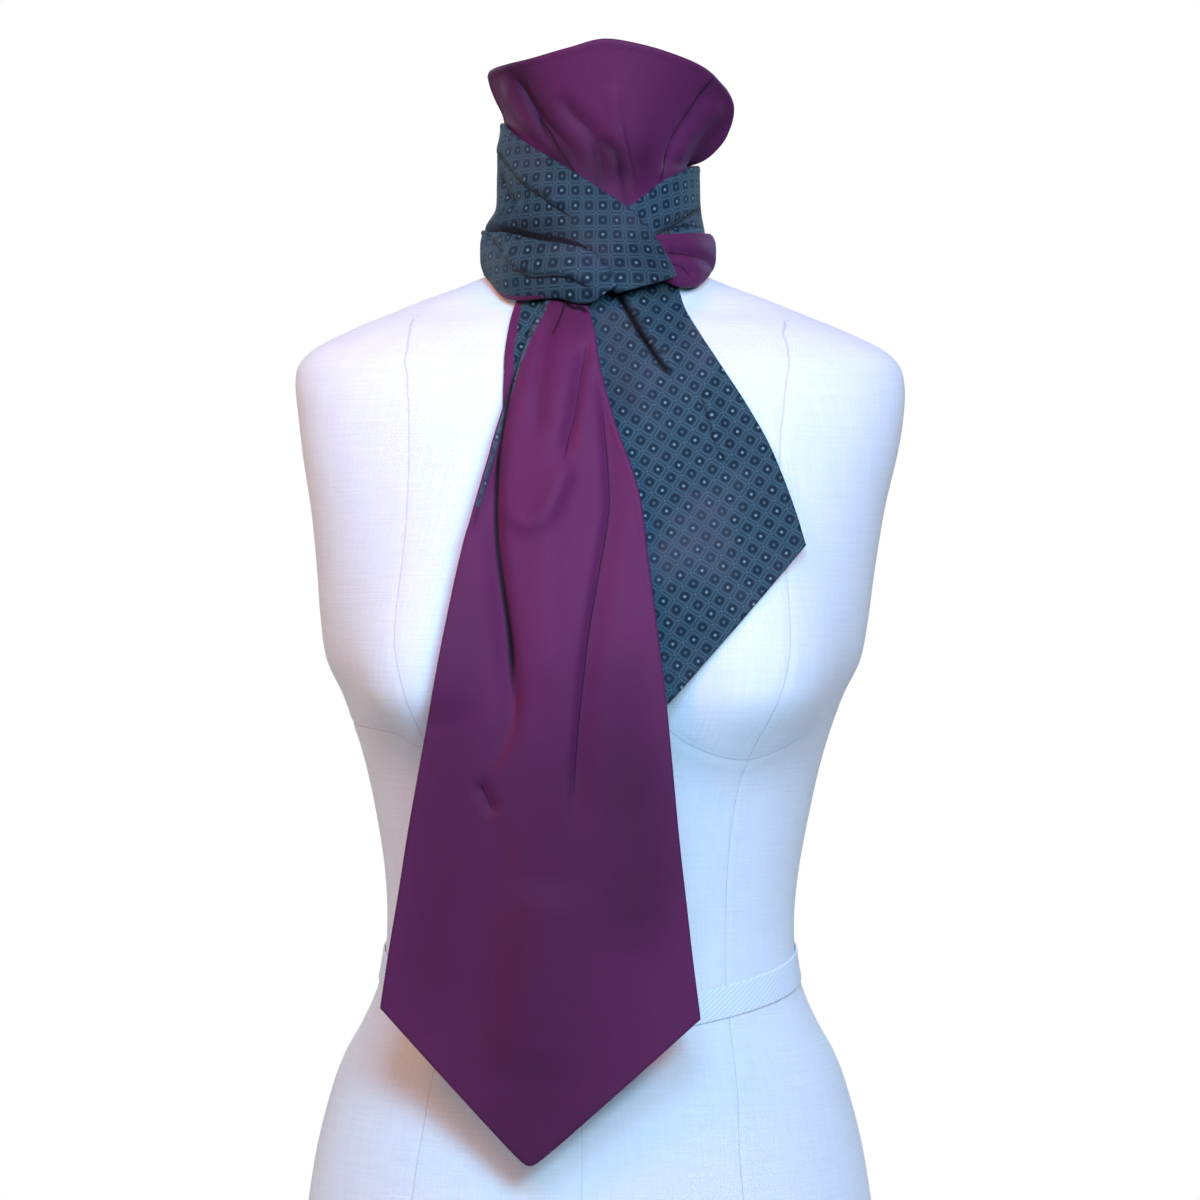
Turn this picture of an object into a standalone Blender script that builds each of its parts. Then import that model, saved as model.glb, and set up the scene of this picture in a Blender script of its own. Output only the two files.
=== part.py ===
"""A reversible cravat wound and tied round the neck of a limbless dress form.

Lengths in the tables are millimetres and angles are degrees; MM turns lengths into Blender's metres.
The origin is under the form on the neck's axis, +Z is up and the garment faces -Y.
Round the neck a place is given by its angle, 0 at the front and positive towards +X, and its height.
In front of the chest a place is given by its x and its height.
Every stretch of cloth is one sheet with the plain face on one side and the printed face on the other.
"""

import math

import bmesh
import bpy
import numpy as np

MM = 0.001

# Driving dimensions
CLOTH = 1.6
SEAM = 0.5
FORM_CLEARANCE = 1.2
TAIL_POINT = 88.5
LONG_LEAN = -6.0
SHORT_LEAN = 7.0
POINT_BLUNTING = 0.04
NECK_TOP = 748.0
NECK_SHOULDER = 742.0
TORSO_POWER = 2.2
NECK_BLEND = 14.0
BUST_ANGLE = 44.0
BUST_HEIGHT = 432.0
BUST_DEPTH = 40.0
BUST_SPREAD = 22.0
BUST_RISE = 75.0
BUST_FALL = 40.0
TAPE_WIDTH = 17.0
TAPE_THICKNESS = 1.0
TAPE_SIDE_HEIGHT = 267.0
TAPE_FRONT_DIP = 26.0
TAPE_BACK_RISE = 6.0
TAPE_CLEARANCE = 0.6
FORM_SIDES = 44

# Points along and across each sheet
GRIDS = {
    "throat_panel": (37, 9),
    "upper_wrap_left": (37, 10),
    "upper_wrap_right": (26, 7),
    "lower_wrap_left": (32, 8),
    "lower_wrap_right": (25, 8),
    "long_tail": (30, 15),
    "short_tail": (21, 13),
}

# One degree round the neck is about this long on the cloth
ARC = 1.1

# Layers round the neck, measured from the form's neck to the inside of each cloth
THROAT_LAYER = SEAM
UNDER_LAYER = THROAT_LAYER + CLOTH + SEAM
OVER_LAYER = UNDER_LAYER + CLOTH + SEAM


def table(columns, *rows):
    """The rows as a dictionary of named columns."""
    return {name: [row[i] for row in rows] for i, name in enumerate(columns)}


def curve(knots, values):
    """A smooth function through the values at the knots, level beyond both ends."""
    knots = np.array(knots, float)
    values = np.array(values, float)
    slopes = np.diff(values) / np.diff(knots)
    inner = (values[2:] - values[:-2]) / (knots[2:] - knots[:-2])
    tangents = np.concatenate([slopes[:1], inner, slopes[-1:]])

    def at(place):
        place = np.clip(place, knots[0], knots[-1])
        i = np.clip(np.searchsorted(knots, place) - 1, 0, len(knots) - 2)
        step = knots[i + 1] - knots[i]
        t = (place - knots[i]) / step
        start = (1 + 2 * t) * (1 - t) ** 2 * values[i] + t * (1 - t) ** 2 * step * tangents[i]
        end = t * t * (3 - 2 * t) * values[i + 1] - t * t * (1 - t) * step * tangents[i + 1]
        return start + end

    return at


def column(rows, key, value):
    """The value column as a smooth function of the key column."""
    return curve(rows[key], rows[value])


def stations(rows, name):
    """A column as a smooth function of how far along the piece a station is, from 0 to 1."""
    return curve(np.linspace(0, 1, len(rows[name])), rows[name])


def smooth_max(a, b, width):
    """The larger of the two, rounded over where they are within width of each other."""
    near = np.clip(width - abs(a - b), 0, None) / width
    return np.maximum(a, b) + near * near * width / 4


def fade(place, start, end):
    """0 before the start, 1 past the end and smooth in between."""
    t = np.clip((place - start) / (end - start), 0, 1)
    return t * t * (3 - 2 * t)


# The dress form. Front and back are measured from the neck's axis.
TORSO = table(
    ("height", "half_width", "front", "back"),
    (0, 163, 90, 120),
    (12, 169, 95, 125),
    (45, 175, 99, 130),
    (90, 173.5, 100, 132),
    (121, 169.6, 99, 130),
    (157, 163.6, 97, 124),
    (193, 154, 93, 114),
    (211, 147, 90, 108),
    (229, 137, 87, 102),
    (248, 128.5, 84, 96),
    (266, 124, 82, 93),
    (290, 122.5, 81, 92),
    (320, 124.5, 83, 96),
    (356, 130.5, 87, 103),
    (392, 138.5, 90, 109),
    (425, 149, 93, 114),
    (447, 159.5, 94, 116),
    (471, 164, 95, 118),
    (501, 167.5, 96, 119),
    (537, 172.5, 94, 120),
    (573, 179.5, 87, 118),
    (600, 183, 79, 112),
    (613, 183.5, 73, 107),
    (624, 181, 68, 101),
    (634, 171, 60, 94),
    (646, 147, 50, 84),
    (655, 125, 40, 75),
    (664, 103, 33, 65),
    (669, 89, 29, 58),
    (673.5, 77.5, 26, 52),
    (680, 62, 22, 44),
    (688, 48, 20, 35),
    (700, 35, 18, 26),
)
NECK = table(
    ("height", "radius"),
    (560, 58),
    (600, 64),
    (625, 65),
    (640, 62.5),
    (650, 60),
    (660, 58),
    (670, 56.3),
    (680, 55),
    (692, 54),
    (704, 53.2),
    (NECK_SHOULDER, 52.8),
    (746.5, 51.5),
    (NECK_TOP, 49),
)
# Heights of the form's rings, closest at the bust, the waist and the neck's foot
FORM_RINGS = (
    *(0, 12, 45, 90, 135, 175, 205, 229, 248, 266, 290, 320, 356, 392, 420, 447, 474, 501),
    *(528, 555, 582, 604, 618, 630, 640, 650, 660, 668, 675, 682, 690, 700, 712),
    *(NECK_SHOULDER, 746.5, NECK_TOP),
)

half_width_of = column(TORSO, "height", "half_width")
front_of_torso = column(TORSO, "height", "front")
back_of_torso = column(TORSO, "height", "back")
# The form stands a little out of true, so its middle wanders to the side
form_middle = curve([0, 262, 350, 450, 540, 590, 620, 650], [-3.6, -3.6, -2, -1.4, 1.2, 3, 2, 0])
neck_radius = column(NECK, "height", "radius")


def form_radius(angle, height):
    """How far the form's surface is from the neck's axis."""
    turn = np.radians(angle)
    depth = np.where(np.cos(turn) > 0, front_of_torso(height), back_of_torso(height))
    across = (abs(np.sin(turn)) / half_width_of(height)) ** TORSO_POWER
    torso = (across + (abs(np.cos(turn)) / depth) ** TORSO_POWER) ** (-1 / TORSO_POWER)
    body = smooth_max(torso, neck_radius(height), NECK_BLEND)
    side = (abs((angle + 180) % 360 - 180) - BUST_ANGLE) / BUST_SPREAD
    rise = (height - BUST_HEIGHT) / np.where(height > BUST_HEIGHT, BUST_RISE, BUST_FALL)
    return body + BUST_DEPTH * np.exp(-side * side - rise * rise)


def chest_front(x, height):
    """The form's y in front, at an x and a height."""
    near = np.zeros_like(x)
    far = np.full_like(x, 260.0)
    across = x - form_middle(height)
    for _ in range(30):
        middle = (near + far) / 2
        inside = np.hypot(across, middle) < form_radius(np.degrees(np.arctan2(across, middle)), height)
        near = np.where(inside, middle, near)
        far = np.where(inside, far, middle)
    return -near


# Folds: a row for each, with its path in (across, height), how far it rises or sinks, and its width
# to the left and to the right of the path. A narrow side makes a lip that lies over its neighbour.
# A fold dies away over FOLD_END of its length at either end.
FOLD_COLUMNS = ("name", "path", "rise", "left", "right")
FOLD_END = 0.2

THROAT_FOLDS = table(
    FOLD_COLUMNS,
    ("left_valley", [(-50, 796), (-38, 770), (-24, 748), (-13, 733)], -5.0, 5.0, 7.0),
    ("left_ridge", [(-60, 796), (-46, 768), (-32, 748)], 2.2, 6.0, 6.0),
    ("middle_valley", [(-20, 782), (-4, 756), (12, 730)], -3.0, 6.5, 6.0),
    ("middle_ridge", [(8, 786), (14, 760), (20, 724)], 2.0, 5.0, 5.0),
    ("right_valley", [(58, 792), (46, 758), (36, 730)], -4.0, 6.0, 5.0),
    ("lobe_ridge", [(74, 782), (60, 756), (48, 740)], 2.5, 9.0, 9.0),
)
OVER_FOLDS = table(
    FOLD_COLUMNS,
    ("long_crease", [(-86, 752), (-66, 742), (-44, 731), (-28, 722), (-10, 708)], 3.0, 8.0, 3.2),
    ("side_dip", [(-74, 738), (-60, 722), (-46, 712)], -2.0, 6.0, 6.0),
    ("nape_crease", [(-160, 737), (-140, 732), (-112, 728)], -1.6, 6.0, 6.0),
)
UNDER_FOLDS = table(
    FOLD_COLUMNS,
    ("gather", [(34, 698), (50, 707), (68, 716), (92, 726)], -3.6, 5.0, 5.0),
    ("nape_crease", [(112, 716), (140, 726), (170, 730)], -2.2, 6.0, 6.0),
)
LOWER_PRINT_FOLDS = table(
    FOLD_COLUMNS,
    ("short_dent", [(-78, 696), (-66, 688), (-56, 685)], -2.4, 4.0, 4.0),
    ("lip", [(-58, 686), (-46, 677), (-34, 675), (-20, 676), (-8, 671), (2, 663)], 3.2, 6.5, 3.0),
    ("nape_crease", [(-172, 692), (-140, 696), (-110, 698)], -2.2, 5.0, 5.0),
)
LOWER_PLAIN_FOLDS = table(
    FOLD_COLUMNS,
    ("upper_valley", [(38, 689), (56, 687), (74, 683), (90, 679)], -2.8, 4.5, 4.5),
    ("lower_valley", [(42, 681), (52, 679), (60, 674)], -2.2, 4.0, 4.0),
    ("nape_crease", [(108, 696), (140, 694), (176, 692)], -2.2, 5.0, 5.0),
)
LONG_FOLDS = table(
    FOLD_COLUMNS,
    ("deep_valley", [(-50, 610), (-54, 560), (-51, 495), (-45, 440), (-51, 400), (-62, 378)], -6, 8, 6),
    ("full_ridge", [(-22, 640), (-38, 590), (-40, 540), (-34, 480), (-28, 420)], 4.0, 11.0, 16.0),
    ("soft_valley", [(-20, 640), (-30, 612), (-36, 585), (-38, 558)], -3.0, 6.0, 6.0),
    ("short_valley", [(-6, 640), (-9, 601), (-12, 578), (-17, 560)], -4.2, 6.0, 5.0),
    ("sag_lip", [(-6, 566), (-16, 546), (-28, 537), (-42, 540)], 3.0, 7.0, 7.0),
    ("right_crease", [(1, 635), (6, 590), (9, 536), (2, 505), (-5, 455), (-9, 395), (-9, 340)], -4, 5, 8),
    ("hem_swell", [(-30, 330), (-36, 270), (-40, 210)], 3.5, 26.0, 22.0),
)
SHORT_FOLDS = table(
    FOLD_COLUMNS,
    ("overlap", [(11, 666), (20, 642), (28, 631), (36, 620), (43, 609)], 4.6, 13.0, 3.5),
    ("right_lip", [(56, 606), (64, 586), (72, 573), (79, 561)], 2.0, 6.0, 4.0),
    ("low_swell", [(30, 590), (62, 545), (84, 505)], -2.6, 14.0, 14.0),
    ("hem_swell", [(40, 540), (52, 500), (56, 460)], 2.6, 16.0, 16.0),
)


def smooth_path(points, count=30):
    """The fold's own points joined by a smooth line."""
    across, height = np.array(points, float).T
    share = np.linspace(0, 1, len(points))
    at = np.linspace(0, 1, count)
    return np.stack([curve(share, across)(at), curve(share, height)(at)], axis=1)


def relief(folds, across, height, stretch=1.0):
    """How far the folds move the cloth outwards at each place. Stretch is the length of one unit across."""
    total = np.zeros_like(across)
    scale = np.array([stretch, 1.0])
    for path, rise, left, right in zip(folds["path"], folds["rise"], folds["left"], folds["right"]):
        points = smooth_path(path) * scale
        steps = np.diff(points, axis=0)
        lengths = np.hypot(steps[:, 0], steps[:, 1])
        starts = np.concatenate([[0], np.cumsum(lengths)[:-1]])
        nearest = np.full(across.shape, 1e9)
        share = np.zeros_like(across)
        side = np.zeros_like(across)
        for start, step, length, before in zip(points, steps, lengths, starts):
            dx = across * stretch - start[0]
            dz = height - start[1]
            t = np.clip((dx * step[0] + dz * step[1]) / length**2, 0, 1)
            distance = np.hypot(dx - t * step[0], dz - t * step[1])
            closer = distance < nearest
            nearest = np.where(closer, distance, nearest)
            share = np.where(closer, (before + t * length) / lengths.sum(), share)
            side = np.where(closer, step[0] * dz - step[1] * dx, side)
        width = np.where(side > 0, left, right)
        ends = fade(share, 0, FOLD_END) * fade(share, 1, 1 - FOLD_END)
        total += rise * np.exp(-((nearest / width) ** 2)) * ends
    return total


# Round the neck. A row is one crosswise station, with the upper and the lower end of its line.
BAND_COLUMNS = ("top_angle", "top_height", "foot_angle", "foot_height")

# The print from the nape over the left of the neck, across the front and down to the knot's fold
OVER_BAND = table(
    BAND_COLUMNS,
    (-200, 747, -188, 704),
    (-165, 756, -165, 701),
    (-130, 764, -130, 699),
    (-100, 770, -102, 699),
    (-74, 767, -78, 698),
    (-44.5, 752, -52, 692),
    (-12.5, 732.5, -28, 685),
    (4, 721, -14, 681),
    (17.8, 712, -5, 676),
    (27, 703, 1, 671),
    (34, 693, 5, 666.5),
    (38.8, 682, 7.5, 663.5),
    (41.3, 673, 9.5, 661),
)
# The print from under the crossing, over the right of the neck to the nape
UNDER_BAND = table(
    BAND_COLUMNS,
    (5, 703, 13, 688),
    (17.8, 711.5, 23, 691.5),
    (28, 718.5, 33, 693),
    (43, 729.5, 47, 693.5),
    (60, 737, 62, 695),
    (78, 742, 80, 696.5),
    (100, 746, 100, 698),
    (130, 750, 130, 701),
    (160, 750, 162, 704),
    (196, 742, 192, 708),
)
# The lower turn, print outwards, from the nape round the left to the knot
LOWER_PRINT_BAND = table(
    BAND_COLUMNS,
    (-184, 707, -178, 678),
    (-155, 709, -155, 681),
    (-125, 708, -125, 685),
    (-98, 706, -98, 684),
    (-82, 704.5, -84, 678.5),
    (-67, 701.5, -70, 672.5),
    (-52, 698.5, -56, 663),
    (-38, 694.5, -40, 659.5),
    (-26, 691, -27, 659.5),
    (-14, 688.5, -17, 659),
    (-5, 685.5, -10, 656.5),
    (2, 680, -6, 655.8),
    (6, 673, -3, 656),
    (8.8, 665, -0.5, 657.3),
)
# The lower turn, plain side outwards, from under the crossing round the right to the nape
LOWER_PLAIN_BAND = table(
    BAND_COLUMNS,
    (29, 694, 33, 674),
    (38, 697, 43, 670),
    (53, 698.5, 51, 668.5),
    (66, 700, 63, 670),
    (80, 701.5, 77, 677),
    (97, 703.5, 97, 685),
    (125, 706, 125, 685),
    (160, 708, 160, 680),
    (196, 705, 194, 681),
)
# The stand-up fan at the throat: its foot, the height where the bands let it go, and its rim
THROAT = table(
    ("angle", "foot", "free_from", "rim", "rim_radius"),
    (-98, 748, 762, 764, 53.4),
    (-93.5, 747, 767, 769, 53.6),
    (-90, 746, 772, 778, 55.8),
    (-86.5, 746, 771.5, 786, 60),
    (-82, 745, 770, 792, 63),
    (-77, 744, 769, 797, 65.2),
    (-64, 740, 764, 798, 67),
    (-48, 730, 756, 798, 68.5),
    (-31.5, 720, 746, 798.8, 70.5),
    (-12.5, 711, 735, 802.8, 73),
    (3, 703, 724, 807.3, 74.5),
    (18, 699, 715, 805, 76.5),
    (38, 706, 729, 799.5, 79),
    (52, 712, 735, 795, 80.5),
    (61, 716, 739, 790, 82),
    (72, 720, 742, 784.5, 82.5),
    (80, 722, 744, 778.5, 83),
    (87, 724, 745, 770, 81),
    (91, 726, 746, 762, 77.5),
    (94.5, 727, 746.5, 755, 71.5),
    (98, 728, 747, 750.5, 65),
    (102, 729, 747.5, 748.5, 58),
)

# How far the upper bands stand off their own layers, by angle
over_looseness = curve([-200, -172, -150, -115, -90, -50, 0, 45], [0.4, 0.8, 1.6, 1.6, 0.6, 1, 1.7, 2.5])
under_looseness = curve([0, 33, 60, 90, 115, 145, 165, 200], [0, 0.8, 3.5, 5.6, 4, 2.2, 0, 0])
# How far the lower bands are from the neck's axis, by angle
lower_print_reach = curve([-184, -150, -90, -60, -30, -15, 0, 10], [64, 65, 68.3, 68.2, 70, 73, 75.6, 77])
PLAIN_REACH_AT = (28, 38, 45, 52, 62, 75, 90, 115, 150, 200)
lower_plain_reach = curve(PLAIN_REACH_AT, [60, 61, 63, 66, 69, 70.3, 70.8, 68, 63, 61])

# The stretches of angle or height over which one state gives way to the next
CROSSING_ENDS = (22, 28)
PLAIN_TURN_COMES_FREE = (36, 48)
PLAIN_EDGES_ROLL = (40, 60)
UNDER_BAND_COMES_FREE = (30, 50)
RIGHT_OF_NAPE = (150, 156)
LEFT_OF_NAPE = (-154, -160)
TOP_LEANS_AT = (752, 770)
TOP_LEANS_FROM = (-120, -90)

KNOT_ANGLE = 22.0
KNOT_HEIGHT = 668.0
KNOT_BULGE = 11.5
KNOT_WIDTH = 27.0
KNOT_RISE = 21.0
BILLOW_ANGLE = -90.0
BILLOW_HEIGHT = 705.5
BILLOW = 7.0
BILLOW_WIDTH = 48.0
BILLOW_RISE = 8.5
SWELL_ANGLE = 88.0
SWELL_HEIGHT = 700.0
SWELL = 3.0
SWELL_WIDTH = 30.0
SWELL_RISE = 14.0
TOP_LEAN = 2.0
LIP_DROP = 3.4
LIP_POWER = 4
LAP = 5.0
FAN_FLARE = 1.4
FAN_ROOT = 0.25


def edges(rows):
    """A band's lower and upper edges, each a function from the angle to the height."""
    return column(rows, "foot_angle", "foot_height"), column(rows, "top_angle", "top_height")


def covers(rows, angle, height):
    """1 where a band lies at this place, falling to 0 within LAP of its edges."""
    foot, top = edges(rows)
    return fade(height, foot(angle) - LAP, foot(angle)) * fade(height, top(angle) + LAP, top(angle))


def rolled(rows, angle, height):
    """How far a band's long edges roll in towards the neck, 0 in its middle and 1 at its edges."""
    foot, top = edges(rows)
    share = np.clip((height - foot(angle)) / (top(angle) - foot(angle)), 0, 1)
    return abs(2 * share - 1) ** LIP_POWER


def neck_side(height):
    """The neck's radius, carried straight up past its rounded top."""
    return neck_radius(np.minimum(height, NECK_SHOULDER))


def mound(angle, height, at_angle, at_height, width, rise):
    """A rounded swelling, 1 at its middle."""
    return np.exp(-(((angle - at_angle) / width) ** 2) - ((height - at_height) / rise) ** 2)


def on_form(angle, height):
    """The radius of cloth that lies on the form, also where the form is nearly level."""
    return form_radius(angle, height - FORM_CLEARANCE) + SEAM


def raised(own, below, share):
    """The band's own radius, lifted clear of the cloth below it where that cloth lies."""
    return np.maximum(own, own + (below + CLOTH + SEAM - own) * share)


def under_radius(angle, height):
    swell = SWELL * mound(angle, height, SWELL_ANGLE, SWELL_HEIGHT, SWELL_WIDTH, SWELL_RISE)
    own = neck_side(height) + UNDER_LAYER + under_looseness(angle) + swell
    return own + relief(UNDER_FOLDS, angle, height, ARC) * fade(angle, *UNDER_BAND_COMES_FREE)


def over_own(angle, height):
    knot = KNOT_BULGE * mound(angle, height, KNOT_ANGLE, KNOT_HEIGHT, KNOT_WIDTH, KNOT_RISE)
    billow = BILLOW * mound(angle, height, BILLOW_ANGLE, BILLOW_HEIGHT, BILLOW_WIDTH, BILLOW_RISE)
    leaning_in = TOP_LEAN * fade(height, *TOP_LEANS_AT) * fade(angle, *TOP_LEANS_FROM)
    own = neck_side(height) + OVER_LAYER + over_looseness(angle) + knot + billow - leaning_in
    return np.maximum(own + relief(OVER_FOLDS, angle, height, ARC), neck_side(height) + UNDER_LAYER)


def lower_plain_own(angle, height):
    drop = LIP_DROP * fade(angle, *PLAIN_EDGES_ROLL)
    own = lower_plain_reach(angle) - drop * rolled(LOWER_PLAIN_BAND, angle, height)
    own = own + relief(LOWER_PLAIN_FOLDS, angle, height, ARC) * fade(angle, *PLAIN_TURN_COMES_FREE)
    own = np.maximum(own, on_form(angle, height))
    return raised(own, under_radius(angle, height), covers(UNDER_BAND, angle, height))


def over_radius(angle, height):
    beneath = covers(LOWER_PLAIN_BAND, angle, height) * fade(angle, *CROSSING_ENDS)
    return raised(over_own(angle, height), lower_plain_own(angle, height), beneath)


def lower_plain_radius(angle, height):
    behind = angle - 360
    beneath = covers(OVER_BAND, behind, height) * fade(angle, *RIGHT_OF_NAPE)
    return raised(lower_plain_own(angle, height), over_own(behind, height), beneath)


def lower_print_radius(angle, height):
    own = lower_print_reach(angle) - LIP_DROP * rolled(LOWER_PRINT_BAND, angle, height)
    own = own + relief(LOWER_PRINT_FOLDS, angle, height, ARC)
    own = np.maximum(own, on_form(angle, height))
    own = raised(own, over_radius(angle, height), covers(OVER_BAND, angle, height))
    return raised(own, lower_plain_radius(angle + 360, height), fade(angle, *LEFT_OF_NAPE))


def throat_radius(angle, height, free_from, rim, rim_radius):
    held = neck_side(height) + THROAT_LAYER
    share = np.clip((height - free_from) / (rim - free_from), 0, 1)
    folds = relief(THROAT_FOLDS, angle, height, ARC) * fade(share, 0, FAN_ROOT)
    return np.maximum(held + (rim_radius - held) * share**FAN_FLARE + folds, held)


# In front of the chest. A row is one crosswise station, with the left and the right end of its line.
TAIL_COLUMNS = ("left_x", "left_height", "right_x", "right_height")

LONG_TAIL = table(
    TAIL_COLUMNS,
    (-24, 671, -8, 670),
    (-28.7, 657, -5, 654),
    (-38.2, 637, -0.8, 636),
    (-44, 620, 1.6, 618),
    (-55.6, 585, 10.3, 586),
    (-67, 545, 23.8, 545),
    (-76.6, 505.5, 29.2, 505.5),
    (-84.8, 465, 34.6, 463),
    (-91.8, 427, 39, 427),
    (-98, 393, 42.5, 391),
    (-104.7, 356, 46.4, 350),
    (-110.5, 320, 50.8, 312),
    (-116, 288, 54.4, 282),
    (-121, 256, 58.6, 251),
)
SHORT_TAIL = table(
    TAIL_COLUMNS,
    (-42, 668, 40, 680),
    (-46, 659, 46.5, 671),
    (-49.5, 646, 52, 654),
    (-52.2, 627, 62.5, 634.5),
    (-52.7, 612, 74, 616),
    (-53, 597, 86, 597),
    (-53, 575, 98.5, 575),
    (-54.5, 551, 108, 552.5),
    (-57.5, 526.5, 114.9, 533),
    (-61, 504, 119.4, 517.8),
)
# How far the hanging cloth is from the neck's axis at its middle, and how it curves away to the sides
HANG = table(
    ("height", "depth", "bend"),
    (163, 116, 0.0008),
    (230, 118, 0.0008),
    (330, 119, 0.0008),
    (380, 118.5, 0.0008),
    (432, 117, 0.0008),
    (465, 113.5, 0.0008),
    (501, 107, 0.0009),
    (537, 99.5, 0.0011),
    (573, 90, 0.0015),
    (600, 81.5, 0.0022),
    (620, 75, 0.0034),
    (640, 68, 0.0055),
    (655, 62.2, 0.0092),
    (668, 56.5, 0.0110),
    (682, 50.0, 0.0120),
)
# How far the long tail stands in front of the short one, and the short one off the chest, by height
long_tail_clearance = curve([163, 300, 432, 560, 620, 645, 660, 672], [4, 6, 8, 9, 8, 4.6, 1.6, 0])
chest_clearance = curve([580, 660], [1.6, 0.6])
CONTACT_BLEND = 5.0

hang_depth = column(HANG, "height", "depth")
hang_bend = column(HANG, "height", "bend")


def hung(x, height):
    """The back of cloth that hangs from the knot, pushed forward by the chest where it touches."""
    free = hang_depth(height) - hang_bend(height) * x * x
    touching = -chest_front(x, height) + chest_clearance(height)
    return -smooth_max(free, touching, CONTACT_BLEND)


def short_tail_back(x, height):
    return hung(x, height) - relief(SHORT_FOLDS, x, height)


def long_tail_back(x, height):
    lift = CLOTH + SEAM + long_tail_clearance(height)
    return hung(x, height) - lift - relief(LONG_FOLDS, x, height)


def band_places(rows, columns, crosswise):
    """Angles and heights for a grid on a band, lengthwise first."""
    along = np.linspace(0, 1, columns)[:, None]
    share = np.linspace(0, 1, crosswise)[None, :]
    angle = stations(rows, "foot_angle")(along) * (1 - share) + stations(rows, "top_angle")(along) * share
    height = stations(rows, "foot_height")(along) * (1 - share) + stations(rows, "top_height")(along) * share
    return angle, height


def tail_places(rows, columns, crosswise, lean):
    """x and height for a grid on a tail whose rows bend by degrees into its pointed end."""
    along = np.linspace(0, 1, columns)[:, None]
    share = np.linspace(0, 1, crosswise)[None, :]
    x = stations(rows, "left_x")(along) * (1 - share) + stations(rows, "right_x")(along) * share
    left, right = (stations(rows, name)(along) for name in ("left_height", "right_height"))
    level = left * (1 - share) + right * share
    from_middle = np.sqrt((2 * share - 1) ** 2 + POINT_BLUNTING**2) - POINT_BLUNTING
    point = (1 - from_middle) * along**3
    return x + lean * point, level - TAIL_POINT * point


def round_neck(angle, height, radius):
    turn = np.radians(angle)
    return np.stack([radius * np.sin(turn), -radius * np.cos(turn), height], axis=-1)


def material(name, colour, roughness):
    made = bpy.data.materials.get(name) or bpy.data.materials.new(name)
    made.use_nodes = True
    shader = made.node_tree.nodes["Principled BSDF"]
    shader.inputs["Base Color"].default_value = (*colour, 1)
    shader.inputs["Roughness"].default_value = roughness
    shader.inputs["Metallic"].default_value = 0
    return made


def plain_cloth():
    return material("plum_cloth", (0.105, 0.025, 0.11), 0.55)


def printed_cloth():
    return material("printed_cloth", (0.03, 0.06, 0.1), 0.7)


def linen():
    return material("linen_cover", (0.82, 0.84, 0.88), 0.85)


def tape_cloth():
    return material("cotton_tape", (0.86, 0.87, 0.9), 0.8)


def add_object(name, bm, surface):
    mesh = bpy.data.meshes.new(name)
    bm.to_mesh(mesh)
    bm.free()
    mesh.materials.append(surface)
    mesh.shade_smooth()
    mesh.set_sharp_from_angle(angle=math.radians(50))
    made = bpy.data.objects.new(name, mesh)
    bpy.context.scene.collection.objects.link(made)
    return made


def cloth(name, points, surface):
    """A sheet through a grid of points in millimetres, thickened away from the wearer's side."""
    columns, crosswise, _ = points.shape
    bm = bmesh.new()
    grid = [[bm.verts.new(point * MM) for point in row] for row in points]
    for i in range(columns - 1):
        for j in range(crosswise - 1):
            bm.faces.new((grid[i][j], grid[i + 1][j], grid[i + 1][j + 1], grid[i][j + 1]))
    made = add_object(name, bm, surface)
    wall = made.modifiers.new("wall", "SOLIDIFY")
    wall.thickness = CLOTH * MM
    wall.offset = 1
    wall.use_even_offset = False
    return made


def band(name, rows, radius, surface):
    """A stretch of cloth round the neck."""
    angle, height = band_places(rows, *GRIDS[name])
    return cloth(name, round_neck(angle, height, radius(angle, height)), surface)


def throat_panel():
    columns, crosswise = GRIDS["throat_panel"]
    angle = np.linspace(THROAT["angle"][0], THROAT["angle"][-1], columns)[:, None]
    share = np.linspace(0, 1, crosswise)[None, :]
    foot, free_from, rim, rim_radius = (
        column(THROAT, "angle", name)(angle) for name in ("foot", "free_from", "rim", "rim_radius")
    )
    height = foot + (rim - foot) * share
    angle = angle + 0 * share
    radius = throat_radius(angle, height, free_from, rim, rim_radius)
    return cloth("throat_panel", round_neck(angle, height, radius), plain_cloth())


def upper_wraps():
    band("upper_wrap_left", OVER_BAND, over_radius, printed_cloth())
    band("upper_wrap_right", UNDER_BAND, under_radius, printed_cloth())


def lower_wraps():
    band("lower_wrap_left", LOWER_PRINT_BAND, lower_print_radius, printed_cloth())
    band("lower_wrap_right", LOWER_PLAIN_BAND, lower_plain_radius, plain_cloth())


def tails():
    x, height = tail_places(LONG_TAIL, *GRIDS["long_tail"], LONG_LEAN)
    cloth("long_tail", np.stack([x, long_tail_back(x, height), height], axis=-1), plain_cloth())
    x, height = tail_places(SHORT_TAIL, *GRIDS["short_tail"], SHORT_LEAN)
    cloth("short_tail", np.stack([x, short_tail_back(x, height), height], axis=-1), printed_cloth())


def ring(bm, angles, height, radius):
    """One level loop of points round the form's own middle."""
    places = round_neck(angles, height, radius)
    places[:, 0] += form_middle(height)
    return [bm.verts.new(place * MM) for place in places]


def join_rings(bm, lower, upper):
    for i in range(len(lower)):
        j = (i + 1) % len(lower)
        bm.faces.new((lower[i], lower[j], upper[j], upper[i]))


def dress_form():
    """Torso and neck in one smooth body with a flat underside."""
    bm = bmesh.new()
    angles = np.arange(FORM_SIDES) * 360 / FORM_SIDES - 180
    rings = [ring(bm, angles, height + 0 * angles, form_radius(angles, height)) for height in FORM_RINGS]
    for lower, upper in zip(rings, rings[1:]):
        join_rings(bm, lower, upper)
    bm.faces.new(rings[0][::-1])
    bm.faces.new(rings[-1])
    return add_object("dress_form", bm, linen())


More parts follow.
